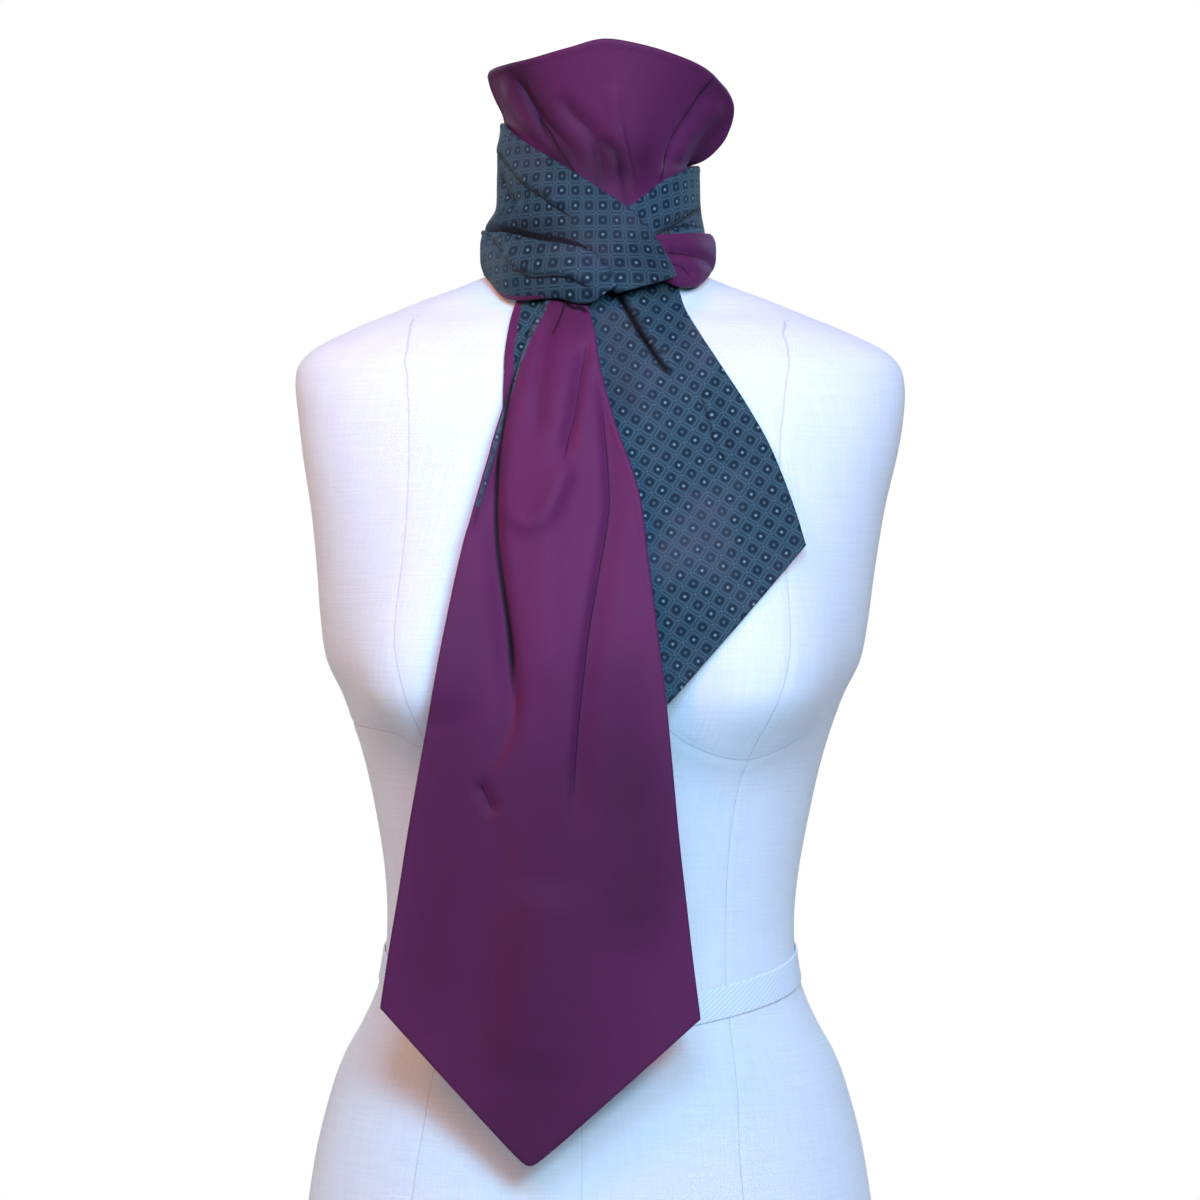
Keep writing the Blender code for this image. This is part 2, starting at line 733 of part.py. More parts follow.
def waist_tape():
    """A narrow tape pinned round the waist, lower in front."""
    bm = bmesh.new()
    angles = np.arange(FORM_SIDES) * 360 / FORM_SIDES - 180
    facing = np.cos(np.radians(angles))
    middle = TAPE_SIDE_HEIGHT - np.where(facing > 0, TAPE_FRONT_DIP, TAPE_BACK_RISE) * facing
    loops = []
    for side, clear in ((-1, 0), (1, 0), (1, 1), (-1, 1)):
        height = middle + side * TAPE_WIDTH / 2
        radius = form_radius(angles, height) + TAPE_CLEARANCE + clear * TAPE_THICKNESS
        loops.append(ring(bm, angles, height, radius))
    for inner, outer in zip(loops, loops[1:] + loops[:1]):
        join_rings(bm, outer, inner)
    return add_object("waist_tape", bm, tape_cloth())


def build():
    for old in list(bpy.data.objects):
        bpy.data.objects.remove(old)
    dress_form()
    waist_tape()
    throat_panel()
    upper_wraps()
    lower_wraps()
    tails()


build()
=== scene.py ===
"""The looks of a reversible cravat tied round the neck of a dress form.

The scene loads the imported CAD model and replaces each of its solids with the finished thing: cloth
shells with their creases, seams, print and weave, and a linen covered form with its seams.
Lengths in the tables are millimetres and angles are degrees, and +Z is up and the garment faces -Y.
Round the neck a place is given by its angle, 0 at the front and positive towards +X, and its height.
In front of the chest a place is given by its x and its height.
"""

import math

import bpy
import numpy as np
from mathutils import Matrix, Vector


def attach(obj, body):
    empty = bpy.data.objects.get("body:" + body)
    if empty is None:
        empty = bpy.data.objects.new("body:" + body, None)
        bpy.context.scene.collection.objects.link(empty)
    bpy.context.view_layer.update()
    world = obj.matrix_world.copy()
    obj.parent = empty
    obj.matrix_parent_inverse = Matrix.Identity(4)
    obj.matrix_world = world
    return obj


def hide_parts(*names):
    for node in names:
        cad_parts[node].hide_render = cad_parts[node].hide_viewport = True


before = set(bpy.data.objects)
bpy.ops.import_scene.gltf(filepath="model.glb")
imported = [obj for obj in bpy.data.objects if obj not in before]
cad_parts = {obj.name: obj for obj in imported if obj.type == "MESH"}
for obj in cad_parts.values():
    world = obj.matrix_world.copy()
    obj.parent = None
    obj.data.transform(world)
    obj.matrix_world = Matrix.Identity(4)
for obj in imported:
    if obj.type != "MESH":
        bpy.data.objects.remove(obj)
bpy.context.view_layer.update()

MM = 0.001

# Driving dimensions, the same as the solids'
CLOTH = 1.6
SEAM = 0.5
FORM_CLEARANCE = 1.2
TAIL_POINT = 88.5
LONG_LEAN = -6.0
SHORT_LEAN = 7.0
POINT_BLUNTING = 0.04
NECK_TOP = 748.0
NECK_SHOULDER = 742.0
TORSO_POWER = 2.2
NECK_BLEND = 14.0
BUST_ANGLE = 44.0
BUST_HEIGHT = 432.0
BUST_DEPTH = 40.0
BUST_SPREAD = 22.0
BUST_RISE = 75.0
BUST_FALL = 40.0
TAPE_WIDTH = 17.0
TAPE_THICKNESS = 1.0
TAPE_SIDE_HEIGHT = 267.0
TAPE_FRONT_DIP = 26.0
TAPE_BACK_RISE = 6.0
TAPE_CLEARANCE = 0.6

# One degree round the neck is about this long on the cloth
ARC = 1.1

# Layers round the neck, measured from the form's neck to the inside of each cloth
THROAT_LAYER = SEAM
UNDER_LAYER = THROAT_LAYER + CLOTH + SEAM
OVER_LAYER = UNDER_LAYER + CLOTH + SEAM


def table(columns, *rows):
    """The rows as a dictionary of named columns."""
    return {name: [row[i] for row in rows] for i, name in enumerate(columns)}


def by_name(columns, *rows):
    """The rows as dictionaries, found by the name that each row starts with."""
    return {row[0]: dict(zip(columns, row[1:])) for row in rows}


def curve(knots, values):
    """A smooth function through the values at the knots, level beyond both ends."""
    knots = np.array(knots, float)
    values = np.array(values, float)
    slopes = np.diff(values) / np.diff(knots)
    inner = (values[2:] - values[:-2]) / (knots[2:] - knots[:-2])
    tangents = np.concatenate([slopes[:1], inner, slopes[-1:]])

    def at(place):
        place = np.clip(place, knots[0], knots[-1])
        i = np.clip(np.searchsorted(knots, place) - 1, 0, len(knots) - 2)
        step = knots[i + 1] - knots[i]
        t = (place - knots[i]) / step
        start = (1 + 2 * t) * (1 - t) ** 2 * values[i] + t * (1 - t) ** 2 * step * tangents[i]
        end = t * t * (3 - 2 * t) * values[i + 1] - t * t * (1 - t) * step * tangents[i + 1]
        return start + end

    return at


def column(rows, key, value):
    """The value column as a smooth function of the key column."""
    return curve(rows[key], rows[value])


def stations(rows, name):
    """A column as a smooth function of how far along the piece a station is, from 0 to 1."""
    return curve(np.linspace(0, 1, len(rows[name])), rows[name])


def smooth_max(a, b, width):
    """The larger of the two, rounded over where they are within width of each other."""
    near = np.clip(width - abs(a - b), 0, None) / width
    return np.maximum(a, b) + near * near * width / 4


def fade(place, start, end):
    """0 before the start, 1 past the end and smooth in between."""
    t = np.clip((place - start) / (end - start), 0, 1)
    return t * t * (3 - 2 * t)


# The dress form. Front and back are measured from the neck's axis.
TORSO = table(
    ("height", "half_width", "front", "back"),
    (0, 163, 90, 120), (12, 169, 95, 125), (45, 175, 99, 130), (90, 173.5, 100, 132),
    (121, 169.6, 99, 130), (157, 163.6, 97, 124), (193, 154, 93, 114), (211, 147, 90, 108),
    (229, 137, 87, 102), (248, 128.5, 84, 96), (266, 124, 82, 93), (290, 122.5, 81, 92),
    (320, 124.5, 83, 96), (356, 130.5, 87, 103), (392, 138.5, 90, 109), (425, 149, 93, 114),
    (447, 159.5, 94, 116), (471, 164, 95, 118), (501, 167.5, 96, 119), (537, 172.5, 94, 120),
    (573, 179.5, 87, 118), (600, 183, 79, 112), (613, 183.5, 73, 107), (624, 181, 68, 101),
    (634, 171, 60, 94), (646, 147, 50, 84), (655, 125, 40, 75), (664, 103, 33, 65),
    (669, 89, 29, 58), (673.5, 77.5, 26, 52), (680, 62, 22, 44), (688, 48, 20, 35),
    (700, 35, 18, 26),
)
NECK = table(
    ("height", "radius"),
    (560, 58), (600, 64), (625, 65), (640, 62.5), (650, 60), (660, 58), (670, 56.3), (680, 55),
    (692, 54), (704, 53.2), (NECK_SHOULDER, 52.8), (746.5, 51.5), (NECK_TOP, 49),
)

half_width_of = column(TORSO, "height", "half_width")
front_of_torso = column(TORSO, "height", "front")
back_of_torso = column(TORSO, "height", "back")
# The form stands a little out of true, so its middle wanders to the side
form_middle = curve([0, 262, 350, 450, 540, 590, 620, 650], [-3.6, -3.6, -2, -1.4, 1.2, 3, 2, 0])
neck_radius = column(NECK, "height", "radius")


def form_radius(angle, height):
    """How far the form's surface is from the neck's axis."""
    turn = np.radians(angle)
    depth = np.where(np.cos(turn) > 0, front_of_torso(height), back_of_torso(height))
    across = (abs(np.sin(turn)) / half_width_of(height)) ** TORSO_POWER
    torso = (across + (abs(np.cos(turn)) / depth) ** TORSO_POWER) ** (-1 / TORSO_POWER)
    body = smooth_max(torso, neck_radius(height), NECK_BLEND)
    side = (abs((angle + 180) % 360 - 180) - BUST_ANGLE) / BUST_SPREAD
    rise = (height - BUST_HEIGHT) / np.where(height > BUST_HEIGHT, BUST_RISE, BUST_FALL)
    return body + BUST_DEPTH * np.exp(-side * side - rise * rise)


# The chest is found between the neck's axis and this far in front of it, by halving so many times
PAST_CHEST = 260.0
HALVINGS = 30


def chest_front(x, height):
    """The form's y in front, at an x and a height."""
    near = np.zeros_like(x)
    far = np.full_like(x, PAST_CHEST)
    across = x - form_middle(height)
    for _ in range(HALVINGS):
        middle = (near + far) / 2
        inside = np.hypot(across, middle) < form_radius(np.degrees(np.arctan2(across, middle)), height)
        near = np.where(inside, middle, near)
        far = np.where(inside, far, middle)
    return -near


# Folds: a row for each, with its path in (across, height), how far it rises or sinks, its width to
# the left and to the right of the path, and how dark the shade is that it paints into the cloth's
# colour: painted shade where the fold would keep out light. Rows that neither rise nor sink only
# paint shade. A narrow side makes a lip that lies over its neighbour. A fold dies away over FOLD_END
# of its length at either end.
FOLD_COLUMNS = ("name", "path", "rise", "left", "right", "dark")
FOLD_END = 0.2

THROAT_FOLDS = table(
    FOLD_COLUMNS,
    ("left_valley", [(-45, 797), (-45, 788), (-34.6, 764), (-22.6, 747), (-10, 727)],
        -5.0, 7.0, 3.2, 0),
    ("left_ridge", [(-62, 792), (-53, 774), (-38, 752), (-26, 738)], 2.2, 6.0, 6.0, 0),
    ("soft_valley", [(-21.6, 781), (-12, 766), (-3.5, 757.7), (1.2, 747.5), (1.2, 730), (0, 712)],
        -3.0, 5.5, 4.5, 0.2),
    ("short_valley", [(2, 756), (10.8, 746), (14.9, 737), (18, 725), (20, 708)], -2.0, 3.2, 3.5, 0.25),
    ("middle_ridge", [(8, 786), (11, 760), (12, 744), (9, 726)], 1.6, 4.0, 5.0, 0),
    ("thin_ridge", [(12, 764), (17, 745.7), (22, 731), (28, 714)], 1.1, 1.3, 1.3, 0),
    ("right_valley", [(56.2, 792), (57, 778), (52.3, 763.6), (49, 753.5), (46.9, 740), (44, 731)],
        -4.0, 8.0, 3.0, 0),
    ("lobe_ridge", [(74, 782), (66, 760), (56, 742)], 2.4, 8.0, 8.0, 0),
    ("left_shade", [(-52, 812), (-42, 780), (-34, 760), (-22, 728)], 0, 15.0, 10.0, 0.4),
    ("foot_shade", [(-34, 742), (-8, 738), (14, 738), (44, 742)], 0, 15.0, 15.0, 0.38),
)
OVER_FOLDS = table(
    FOLD_COLUMNS,
    ("long_crease", [(-86, 753), (-64, 749), (-45, 733), (-30, 723), (-9, 707)], 2.8, 8.0, 2.4, 0),
    ("side_dip", [(-74, 738), (-60, 722), (-46, 712)], -2.0, 6.0, 6.0, 0),
    ("side_fold", [(-76, 737), (-64, 726), (-50, 715)], -1.4, 2.6, 2.6, 0.3),
    ("nape_crease", [(-160, 737), (-140, 732), (-112, 728)], -1.6, 6.0, 6.0, 0),
    ("low_shade", [(-90, 714), (-50, 703), (-20, 694), (6, 674)], 0, 8.0, 8.0, 0.3),
)
UNDER_FOLDS = table(
    FOLD_COLUMNS,
    ("gather", [(34, 697.8), (50, 702.5), (66, 709), (90, 717)], -3.4, 4.5, 3.5, 0.15),
    ("nape_crease", [(112, 716), (140, 726), (170, 730)], -2.2, 6.0, 6.0, 0),
)
LOWER_PRINT_FOLDS = table(
    FOLD_COLUMNS,
    ("short_dent", [(-78, 699), (-66, 696), (-58, 691), (-46, 685)], -2.4, 4.0, 4.0, 0),
    ("lip", [(-56, 689), (-43, 684), (-36, 677.5), (-24, 675), (-12, 673.5), (-4, 668), (1.5, 664.5)],
        3.4, 6.5, 2.6, 0),
    ("nape_crease", [(-172, 692), (-140, 696), (-110, 698)], -2.2, 5.0, 5.0, 0),
)
LOWER_PLAIN_FOLDS = table(
    FOLD_COLUMNS,
    ("upper_valley", [(38.8, 687.4), (50.5, 687), (60, 686), (86, 683)], -3.0, 4.0, 3.2, 0),
    ("lower_valley", [(43, 680.6), (50, 680), (55, 676.8), (58, 672.5)], -2.6, 3.4, 3.0, 0),
    ("nape_crease", [(108, 696), (140, 694), (176, 692)], -2.2, 5.0, 5.0, 0),
)
LONG_FOLDS = table(
    FOLD_COLUMNS,
    ("deep_valley", [(-31, 653), (-44, 621), (-53.7, 574), (-56, 534), (-52.6, 493), (-47, 452),
        (-46, 412), (-61, 383)], -6.0, 4.5, 9.0, 0),
    ("full_ridge", [(-10, 645), (-19, 600), (-27, 540), (-29, 480), (-26, 410)], 4.0, 12.0, 14.0, 0),
    ("violet_valley", [(-17.4, 654), (-25.5, 642), (-29.4, 627), (-31.6, 609), (-32.6, 591),
        (-33, 572)], -3.0, 6.5, 5.5, 0.12),
    ("short_valley", [(-4.6, 634), (-8, 615), (-10.3, 600), (-12.6, 586), (-16, 573), (-18.2, 560)],
        -4.4, 3.6, 6.0, 0),
    ("sag_lip", [(-11.9, 564), (-18, 554), (-22, 545), (-26.5, 536), (-32, 529), (-42, 528),
        (-52, 541)], 3.4, 6.0, 6.0, 0),
    ("left_dip", [(-56, 574), (-60, 557), (-65, 540), (-71, 517)], -2.4, 4.5, 3.5, 0.15),
    ("right_crease", [(2, 635), (4, 600), (7.2, 545), (6.8, 530), (1, 495), (-6.7, 443), (-12, 376),
        (-11, 345)], -4.0, 9.0, 3.6, 0),
    ("notch_dip", [(-66, 382), (-61.7, 373.6), (-56, 362)], -2.6, 4.0, 4.0, 0),
    ("hem_swell", [(-30, 330), (-36, 270), (-40, 210)], 3.5, 26.0, 22.0, 0),
    ("top_shade", [(-40, 668), (-18, 652), (2, 640)], 0, 14.0, 14.0, 0.3),
    ("tip_shade", [(-22, 440), (-30, 330), (-34, 240), (-38, 100)], 0, 64.0, 64.0, 0.36),
    ("left_shade", [(-68, 520), (-82, 400), (-92, 300), (-96, 220)], 0, 20.0, 22.0, 0.18),
    ("right_shade", [(6, 470), (22, 400), (30, 330), (20, 270)], 0, 20.0, 26.0, 0.28),
)
SHORT_FOLDS = table(
    FOLD_COLUMNS,
    ("overlap", [(10.5, 670), (20, 656), (27, 643), (34, 632), (41, 623), (50, 611)],
        5.2, 13.0, 3.0, 0),
    ("right_lip", [(62, 606), (67, 586), (72, 573), (80, 559)], 2.0, 6.0, 2.6, 0),
    ("beside_long", [(-2, 662), (8, 632), (13, 606), (17, 580)], 0, 16.0, 8.0, 0.3),
    ("low_swell", [(30, 590), (62, 545), (84, 505)], -2.6, 14.0, 14.0, 0),
    ("hem_swell", [(40, 540), (52, 500), (56, 460)], 2.6, 16.0, 16.0, 0),
)

# Creases: thin lines of painted shade along the folds, their gaps and recesses, with their half width
# at either end of the path and how dark the painted shade is
CREASE_COLUMNS = ("name", "path", "start", "end", "dark")
CREASE_SHADE_LINES = {
    "throat_panel": table(
        CREASE_COLUMNS,
        ("sharp", [(-46, 800), (-45.5, 789), (-42.6, 779), (-34.6, 764), (-29.5, 758), (-22.6, 747),
            (-13, 733.5), (-6, 722)], 1.3, 1.3, 0.95),
        ("right", [(57, 800), (57, 778), (52.3, 763.6), (49.2, 753.5), (46.9, 740), (41, 722)],
            0.9, 1.0, 0.8),
    ),
    "upper_wrap_left": table(
        CREASE_COLUMNS,
        ("pleat", [(-82, 753), (-53.5, 736.6), (-46, 729), (-39, 724.5), (-31.7, 720), (-24, 714),
            (-17, 709), (-6, 701)], 0.9, 0.9, 0.95),
        ("recess", [(-104, 712), (-73, 706), (-58, 703), (-46, 700), (-32, 696), (-20, 693.2),
            (-11, 690.2), (-3, 684.5), (3, 676), (14, 650)], 3.6, 1.8, 1.0),
        ("nape", [(-190, 722), (-165, 724), (-140, 719), (-110, 716)], 0.8, 0.6, 0.6),
    ),
    "upper_wrap_right": table(
        CREASE_COLUMNS,
        ("upper", [(32, 697.5), (47.7, 702.7), (57.8, 707.8), (71, 715.3), (92, 721)], 1.1, 0.5, 0.9),
        ("lower", [(32, 697), (48, 700.9), (63.6, 704.7), (84, 706)], 1.0, 0.5, 0.8),
        ("nape", [(108, 734), (135, 737), (165, 735)], 0.8, 0.6, 0.6),
    ),
    "lower_wrap_left": table(
        CREASE_COLUMNS,
        ("dent", [(-70, 698), (-66, 696.3), (-58.6, 691.2), (-50, 687)], 1.2, 0.5, 0.9),
        ("lip", [(-46, 684.5), (-38, 676.3), (-34.7, 672.6), (-30.6, 671.2), (-24, 671.3),
            (-17.6, 671.4), (-11.3, 669.8), (-6.9, 667.3), (-3.4, 664.4), (2, 661)], 0.9, 0.8, 0.95),
        ("nape", [(-172, 693), (-140, 697), (-110, 699)], 0.9, 0.6, 0.6),
    ),
    "lower_wrap_right": table(
        CREASE_COLUMNS,
        ("upper", [(37, 687.4), (50.5, 687), (58, 686), (90, 682)], 1.0, 0.7, 0.85),
        ("lower", [(41, 680.8), (50, 680), (55, 676.8), (58, 672)], 1.1, 0.5, 0.8),
        ("nape", [(108, 697), (140, 695), (176, 693)], 0.9, 0.6, 0.6),
    ),
    "long_tail": table(
        CREASE_COLUMNS,
        ("deep", [(-31, 653), (-38, 637), (-44.4, 621), (-49.8, 597), (-53.7, 574), (-55.3, 554),
            (-56.2, 534), (-55.5, 514), (-52.6, 493), (-49, 471), (-47, 454), (-46.7, 438),
            (-45.6, 415)], 0.9, 3.0, 1.0),
        ("edge", [(-32, 656), (-41.8, 636.7), (-47.8, 616.5), (-51.5, 597.5), (-54.5, 580)],
            0.8, 0.7, 0.75),
        ("knot", [(-16.8, 658), (-19.2, 649), (-22, 641), (-26, 633)], 1.1, 0.5, 0.8),
        ("thin", [(-4.2, 636), (-8, 615), (-10.3, 600.5), (-12.6, 586), (-16, 573), (-18.5, 558)],
            0.5, 1.1, 0.7),
        ("right", [(4, 612), (4, 586), (6.3, 562.7), (7.4, 540), (6.8, 530), (4.5, 514), (1, 495),
            (-2.3, 477), (-5, 460), (-6.7, 443.7), (-9, 424), (-11.2, 401), (-12.3, 376), (-11, 345)],
            0.8, 1.0, 0.8),
        ("notch", [(-65.5, 382), (-61.7, 373.6), (-57, 362)], 1.6, 0.5, 0.8),
        ("top", [(-33, 660.5), (-28, 660), (-21, 658), (-16.3, 654.2), (-12.2, 651.6), (-8, 651.2),
            (-3, 645.6)], 1.6, 1.4, 1.0),
    ),
    "short_tail": table(
        CREASE_COLUMNS,
        ("valley", [(6, 670), (12.8, 663), (17.4, 654), (22, 645.6), (29, 633.6), (35.3, 623.4),
            (46, 608)], 3.2, 2.6, 1.0),
        ("crossing", [(2, 662), (14, 666.5), (26, 669.5), (38, 672), (52, 676)], 2.3, 2.0, 1.0),
        ("gap", [(10, 667), (1.2, 662), (-3.5, 658.4), (-10, 652)], 2.4, 2.2, 1.0),
        ("thin", [(60, 604), (65.6, 586.5), (68.3, 575), (72.3, 566), (79, 557)], 0.6, 0.5, 0.45),
    ),
}
# The attributes that hold the distances from the creases, three creases to each
CREASE_GROUPS = ("creases_a", "creases_b", "creases_c")
# In half widths: where distances are cut off, and where a crease's painted shade starts to fade and is
# gone
CREASE_REACH = 5.0
CREASE_EDGE = 2.2
CREASE_CLEAR = 3.2
# A crease narrows to this share of its width over this share of its length at either end
CREASE_TIP = 0.4
CREASE_END = 0.16
# Painted reflected light: where the light comes back red from the next fold of the long tail, it is
# painted into the colour. The rise is how red it is.
PAINTED_RED_REFLECTIONS = table(
    FOLD_COLUMNS,
    ("streak", [(-43.5, 436), (-45, 424), (-48, 408), (-52, 394), (-62, 383)], 1.0, 3.4, 2.0, 0),
    ("under_notch", [(-60, 376), (-53, 358), (-45.4, 337), (-42.6, 315)], 0.55, 5.0, 5.0, 0),
    ("hem_glow", [(-42, 330), (-47, 281), (-51.6, 258), (-56, 215)], 0.55, 10.0, 10.0, 0),
    ("valley_side", [(-52, 560), (-53.5, 520), (-49.5, 480), (-45, 445), (-42.5, 415)],
        0.45, 2.6, 2.0, 0),
    ("short_side", [(-10.6, 586), (-10.4, 573), (-13.5, 561)], 0.7, 1.8, 1.6, 0),
)


def smooth_path(points, count=30):
    """The fold's own points joined by a smooth line."""
    across, height = np.array(points, float).T
    share = np.linspace(0, 1, len(points))
    at = np.linspace(0, 1, count)
    return np.stack([curve(share, across)(at), curve(share, height)(at)], axis=1)


def from_path(path, across, height, stretch=1.0):
    """How far a path is, the share of its length there, and the side, positive to the left."""
    points = smooth_path(path) * np.array([stretch, 1.0])
    steps = np.diff(points, axis=0)
    lengths = np.hypot(steps[:, 0], steps[:, 1])
    starts = np.concatenate([[0], np.cumsum(lengths)[:-1]])
    nearest = np.full(across.shape, 1e9)
    share = np.zeros_like(across)
    side = np.zeros_like(across)
    for start, step, length, before in zip(points, steps, lengths, starts):
        dx = across * stretch - start[0]
        dz = height - start[1]
        t = np.clip((dx * step[0] + dz * step[1]) / length**2, 0, 1)
        distance = np.hypot(dx - t * step[0], dz - t * step[1])
        closer = distance < nearest
        nearest = np.where(closer, distance, nearest)
        share = np.where(closer, (before + t * length) / lengths.sum(), share)
        side = np.where(closer, step[0] * dz - step[1] * dx, side)
    return nearest, share, side


def relief(folds, across, height, stretch=1.0, amount="rise"):
    """How far the folds move the cloth outwards. Stretch is the length of one unit across."""
    # Read with the dark column, this sums the folds' painted shade instead of their rise.
    total = np.zeros_like(across)
    for path, rise, left, right in zip(folds["path"], folds[amount], folds["left"], folds["right"]):
        if rise:
            nearest, share, side = from_path(path, across, height, stretch)
            width = np.where(side > 0, left, right)
            ends = fade(share, 0, FOLD_END) * fade(share, 1, 1 - FOLD_END)
            total += rise * np.exp(-((nearest / width) ** 2)) * ends
    return total


def creases(name, across, height, stretch=1.0):
    """How far each crease is, in its own half widths, and how dark the painted shade of the nearest one
    is.

    The distances are negative on a crease's right, and stand three to a vector.
    """
    rows = CREASE_SHADE_LINES[name]
    signed = []
    closest = np.full_like(across, CREASE_REACH)
    darkness = np.zeros_like(across)
    for path, start, end, dark in zip(rows["path"], rows["start"], rows["end"], rows["dark"]):
        nearest, share, side = from_path(path, across, height, stretch)
        ends = fade(share, 0, CREASE_END) * fade(share, 1, 1 - CREASE_END)
        width = (start + (end - start) * share) * np.maximum(ends, CREASE_TIP)
        away = np.minimum(nearest / width, CREASE_REACH)
        signed.append(np.where(side > 0, 1, -1) * away)
        darkness = np.where(away < closest, dark * ends, darkness)
        closest = np.minimum(away, closest)
    signed += [np.full_like(across, CREASE_REACH)] * (3 * len(CREASE_GROUPS) - len(signed))
    darkness *= fade(closest, CREASE_CLEAR, CREASE_EDGE)
    values = {"crease_painted_shade": darkness}
    for k, group in enumerate(CREASE_GROUPS):
        values[group] = np.stack(signed[3 * k : 3 * k + 3], axis=-1)
    return values


# Round the neck. A row is one crosswise station, with the upper and the lower end of its line.
BAND_COLUMNS = ("top_angle", "top_height", "foot_angle", "foot_height")

# The print from the nape over the left of the neck, across the front and down to the knot's fold
OVER_BAND = table(
    BAND_COLUMNS,
    (-200, 747, -188, 704), (-165, 756, -165, 701), (-130, 764, -130, 699), (-100, 770, -102, 699),
    (-74, 767, -78, 698), (-44.5, 752, -52, 692), (-12.5, 732.5, -28, 685), (4, 721, -14, 681),
    (17.8, 712, -5, 676), (27, 703, 1, 671), (34, 693, 5, 666.5), (38.8, 682, 7.5, 663.5),
    (41.3, 673, 9.5, 661),
)
# The print from under the crossing, over the right of the neck to the nape
UNDER_BAND = table(
    BAND_COLUMNS,
    (5, 703, 13, 688), (17.8, 711.5, 23, 691.5), (28, 718.5, 33, 693), (43, 729.5, 47, 693.5),
    (60, 737, 62, 695), (78, 742, 80, 696.5), (100, 746, 100, 698), (130, 750, 130, 701),
    (160, 750, 162, 704), (196, 742, 192, 708),
)
# The lower turn, print outwards, from the nape round the left to the knot
LOWER_PRINT_BAND = table(
    BAND_COLUMNS,
    (-184, 707, -178, 678), (-155, 709, -155, 681), (-125, 708, -125, 685), (-98, 706, -98, 684),
    (-82, 704.5, -84, 678.5), (-67, 701.5, -70, 672.5), (-52, 698.5, -56, 663),
    (-38, 694.5, -40, 659.5), (-26, 691, -27, 659.5), (-14, 688.5, -17, 659),
    (-5, 685.5, -10, 656.5), (2, 680, -6, 655.8), (6, 673, -3, 656), (8.8, 665, -0.5, 657.3),
)
# The lower turn, plain side outwards, from under the crossing round the right to the nape
LOWER_PLAIN_BAND = table(
    BAND_COLUMNS,
    (29, 694, 33, 674), (38, 697, 43, 670), (53, 698.5, 51, 668.5), (66, 700, 63, 670),
    (80, 701.5, 77, 677), (97, 703.5, 97, 685), (125, 706, 125, 685), (160, 708, 160, 680),
    (196, 705, 194, 681),
)
# The stand-up fan at the throat: its foot, the height where the bands let it go, and its rim
THROAT = table(
    ("angle", "foot", "free_from", "rim", "rim_radius"),
    (-98, 748, 762, 764, 53.4), (-93.5, 747, 767, 769, 53.6), (-90, 746, 772, 778, 55.8),
    (-86.5, 746, 771.5, 786, 60), (-82, 745, 770, 792, 63), (-77, 744, 769, 797, 65.2),
    (-64, 740, 764, 798, 67), (-48, 730, 756, 798, 68.5), (-31.5, 720, 746, 798.8, 70.5),
    (-12.5, 711, 735, 802.8, 73), (3, 703, 724, 807.3, 74.5), (18, 699, 715, 805, 76.5),
    (38, 706, 729, 799.5, 79), (52, 712, 735, 795, 80.5), (61, 716, 739, 790, 82),
    (72, 720, 742, 784.5, 82.5), (80, 722, 744, 778.5, 83), (87, 724, 745, 770, 81),
    (91, 726, 746, 762, 77.5), (94.5, 727, 746.5, 755, 71.5), (98, 728, 747, 750.5, 65),
    (102, 729, 747.5, 748.5, 58),
)

# How far the upper bands stand off their own layers, by angle
OVER_LOOSENESS_AT = (-200, -172, -150, -115, -90, -50, 0, 45)
over_looseness = curve(OVER_LOOSENESS_AT, [0.4, 0.8, 1.6, 1.6, 0.6, 1, 1.7, 2.5])
under_looseness = curve([0, 33, 60, 90, 115, 145, 165, 200], [0, 0.8, 3.5, 5.6, 4, 2.2, 0, 0])
# How far the lower bands are from the neck's axis, by angle
PRINT_REACH_AT = (-184, -150, -90, -60, -30, -15, 0, 10)
lower_print_reach = curve(PRINT_REACH_AT, [64, 65, 68.3, 68.2, 70, 73, 75.6, 77])
PLAIN_REACH_AT = (28, 38, 45, 52, 62, 75, 90, 115, 150, 200)
lower_plain_reach = curve(PLAIN_REACH_AT, [60, 61, 63, 66, 69, 70.3, 70.8, 68, 63, 61])

# The stretches of angle or height over which one state gives way to the next
CROSSING_ENDS = (22, 28)
PLAIN_TURN_COMES_FREE = (36, 48)
PLAIN_EDGES_ROLL = (40, 60)
UNDER_BAND_COMES_FREE = (30, 50)
RIGHT_OF_NAPE = (150, 156)
LEFT_OF_NAPE = (-154, -160)
TOP_LEANS_AT = (752, 770)
TOP_LEANS_FROM = (-120, -90)

# Rounded swellings: how high each is, where its middle is and how far it reaches either way
SWELLINGS = by_name(
    ("size", "angle", "height", "width", "rise"),
    ("knot", 11.5, 22.0, 668.0, 27.0, 21.0),
    ("billow", 7.0, -90.0, 705.5, 48.0, 8.5),
    ("right_side", 3.0, 88.0, 700.0, 30.0, 14.0),
)
# How far the print's top edge leans in beside the nape
TOP_LEAN = 2.0
# How far the lower bands' edges roll in, and the power that keeps the roll near the edge
LIP_DROP = 3.4
LIP_POWER = 4
# How far past its edges a band still lifts the one above it
LAP = 5.0
# The power of the fan's outward curve, and the share of its height over which its folds begin
FAN_FLARE = 1.4
FAN_ROOT = 0.25


def edges(rows):
    """A band's lower and upper edges, each a function from the angle to the height."""
    return column(rows, "foot_angle", "foot_height"), column(rows, "top_angle", "top_height")


def covers(rows, angle, height):
    """1 where a band lies at this place, falling to 0 within LAP of its edges."""
    foot, top = edges(rows)
    return fade(height, foot(angle) - LAP, foot(angle)) * fade(height, top(angle) + LAP, top(angle))


def rolled(rows, angle, height):
    """How far a band's long edges roll in towards the neck, 0 in its middle and 1 at its edges."""
    foot, top = edges(rows)
    share = np.clip((height - foot(angle)) / (top(angle) - foot(angle)), 0, 1)
    return abs(2 * share - 1) ** LIP_POWER


def neck_side(height):
    """The neck's radius, carried straight up past its rounded top."""
    return neck_radius(np.minimum(height, NECK_SHOULDER))


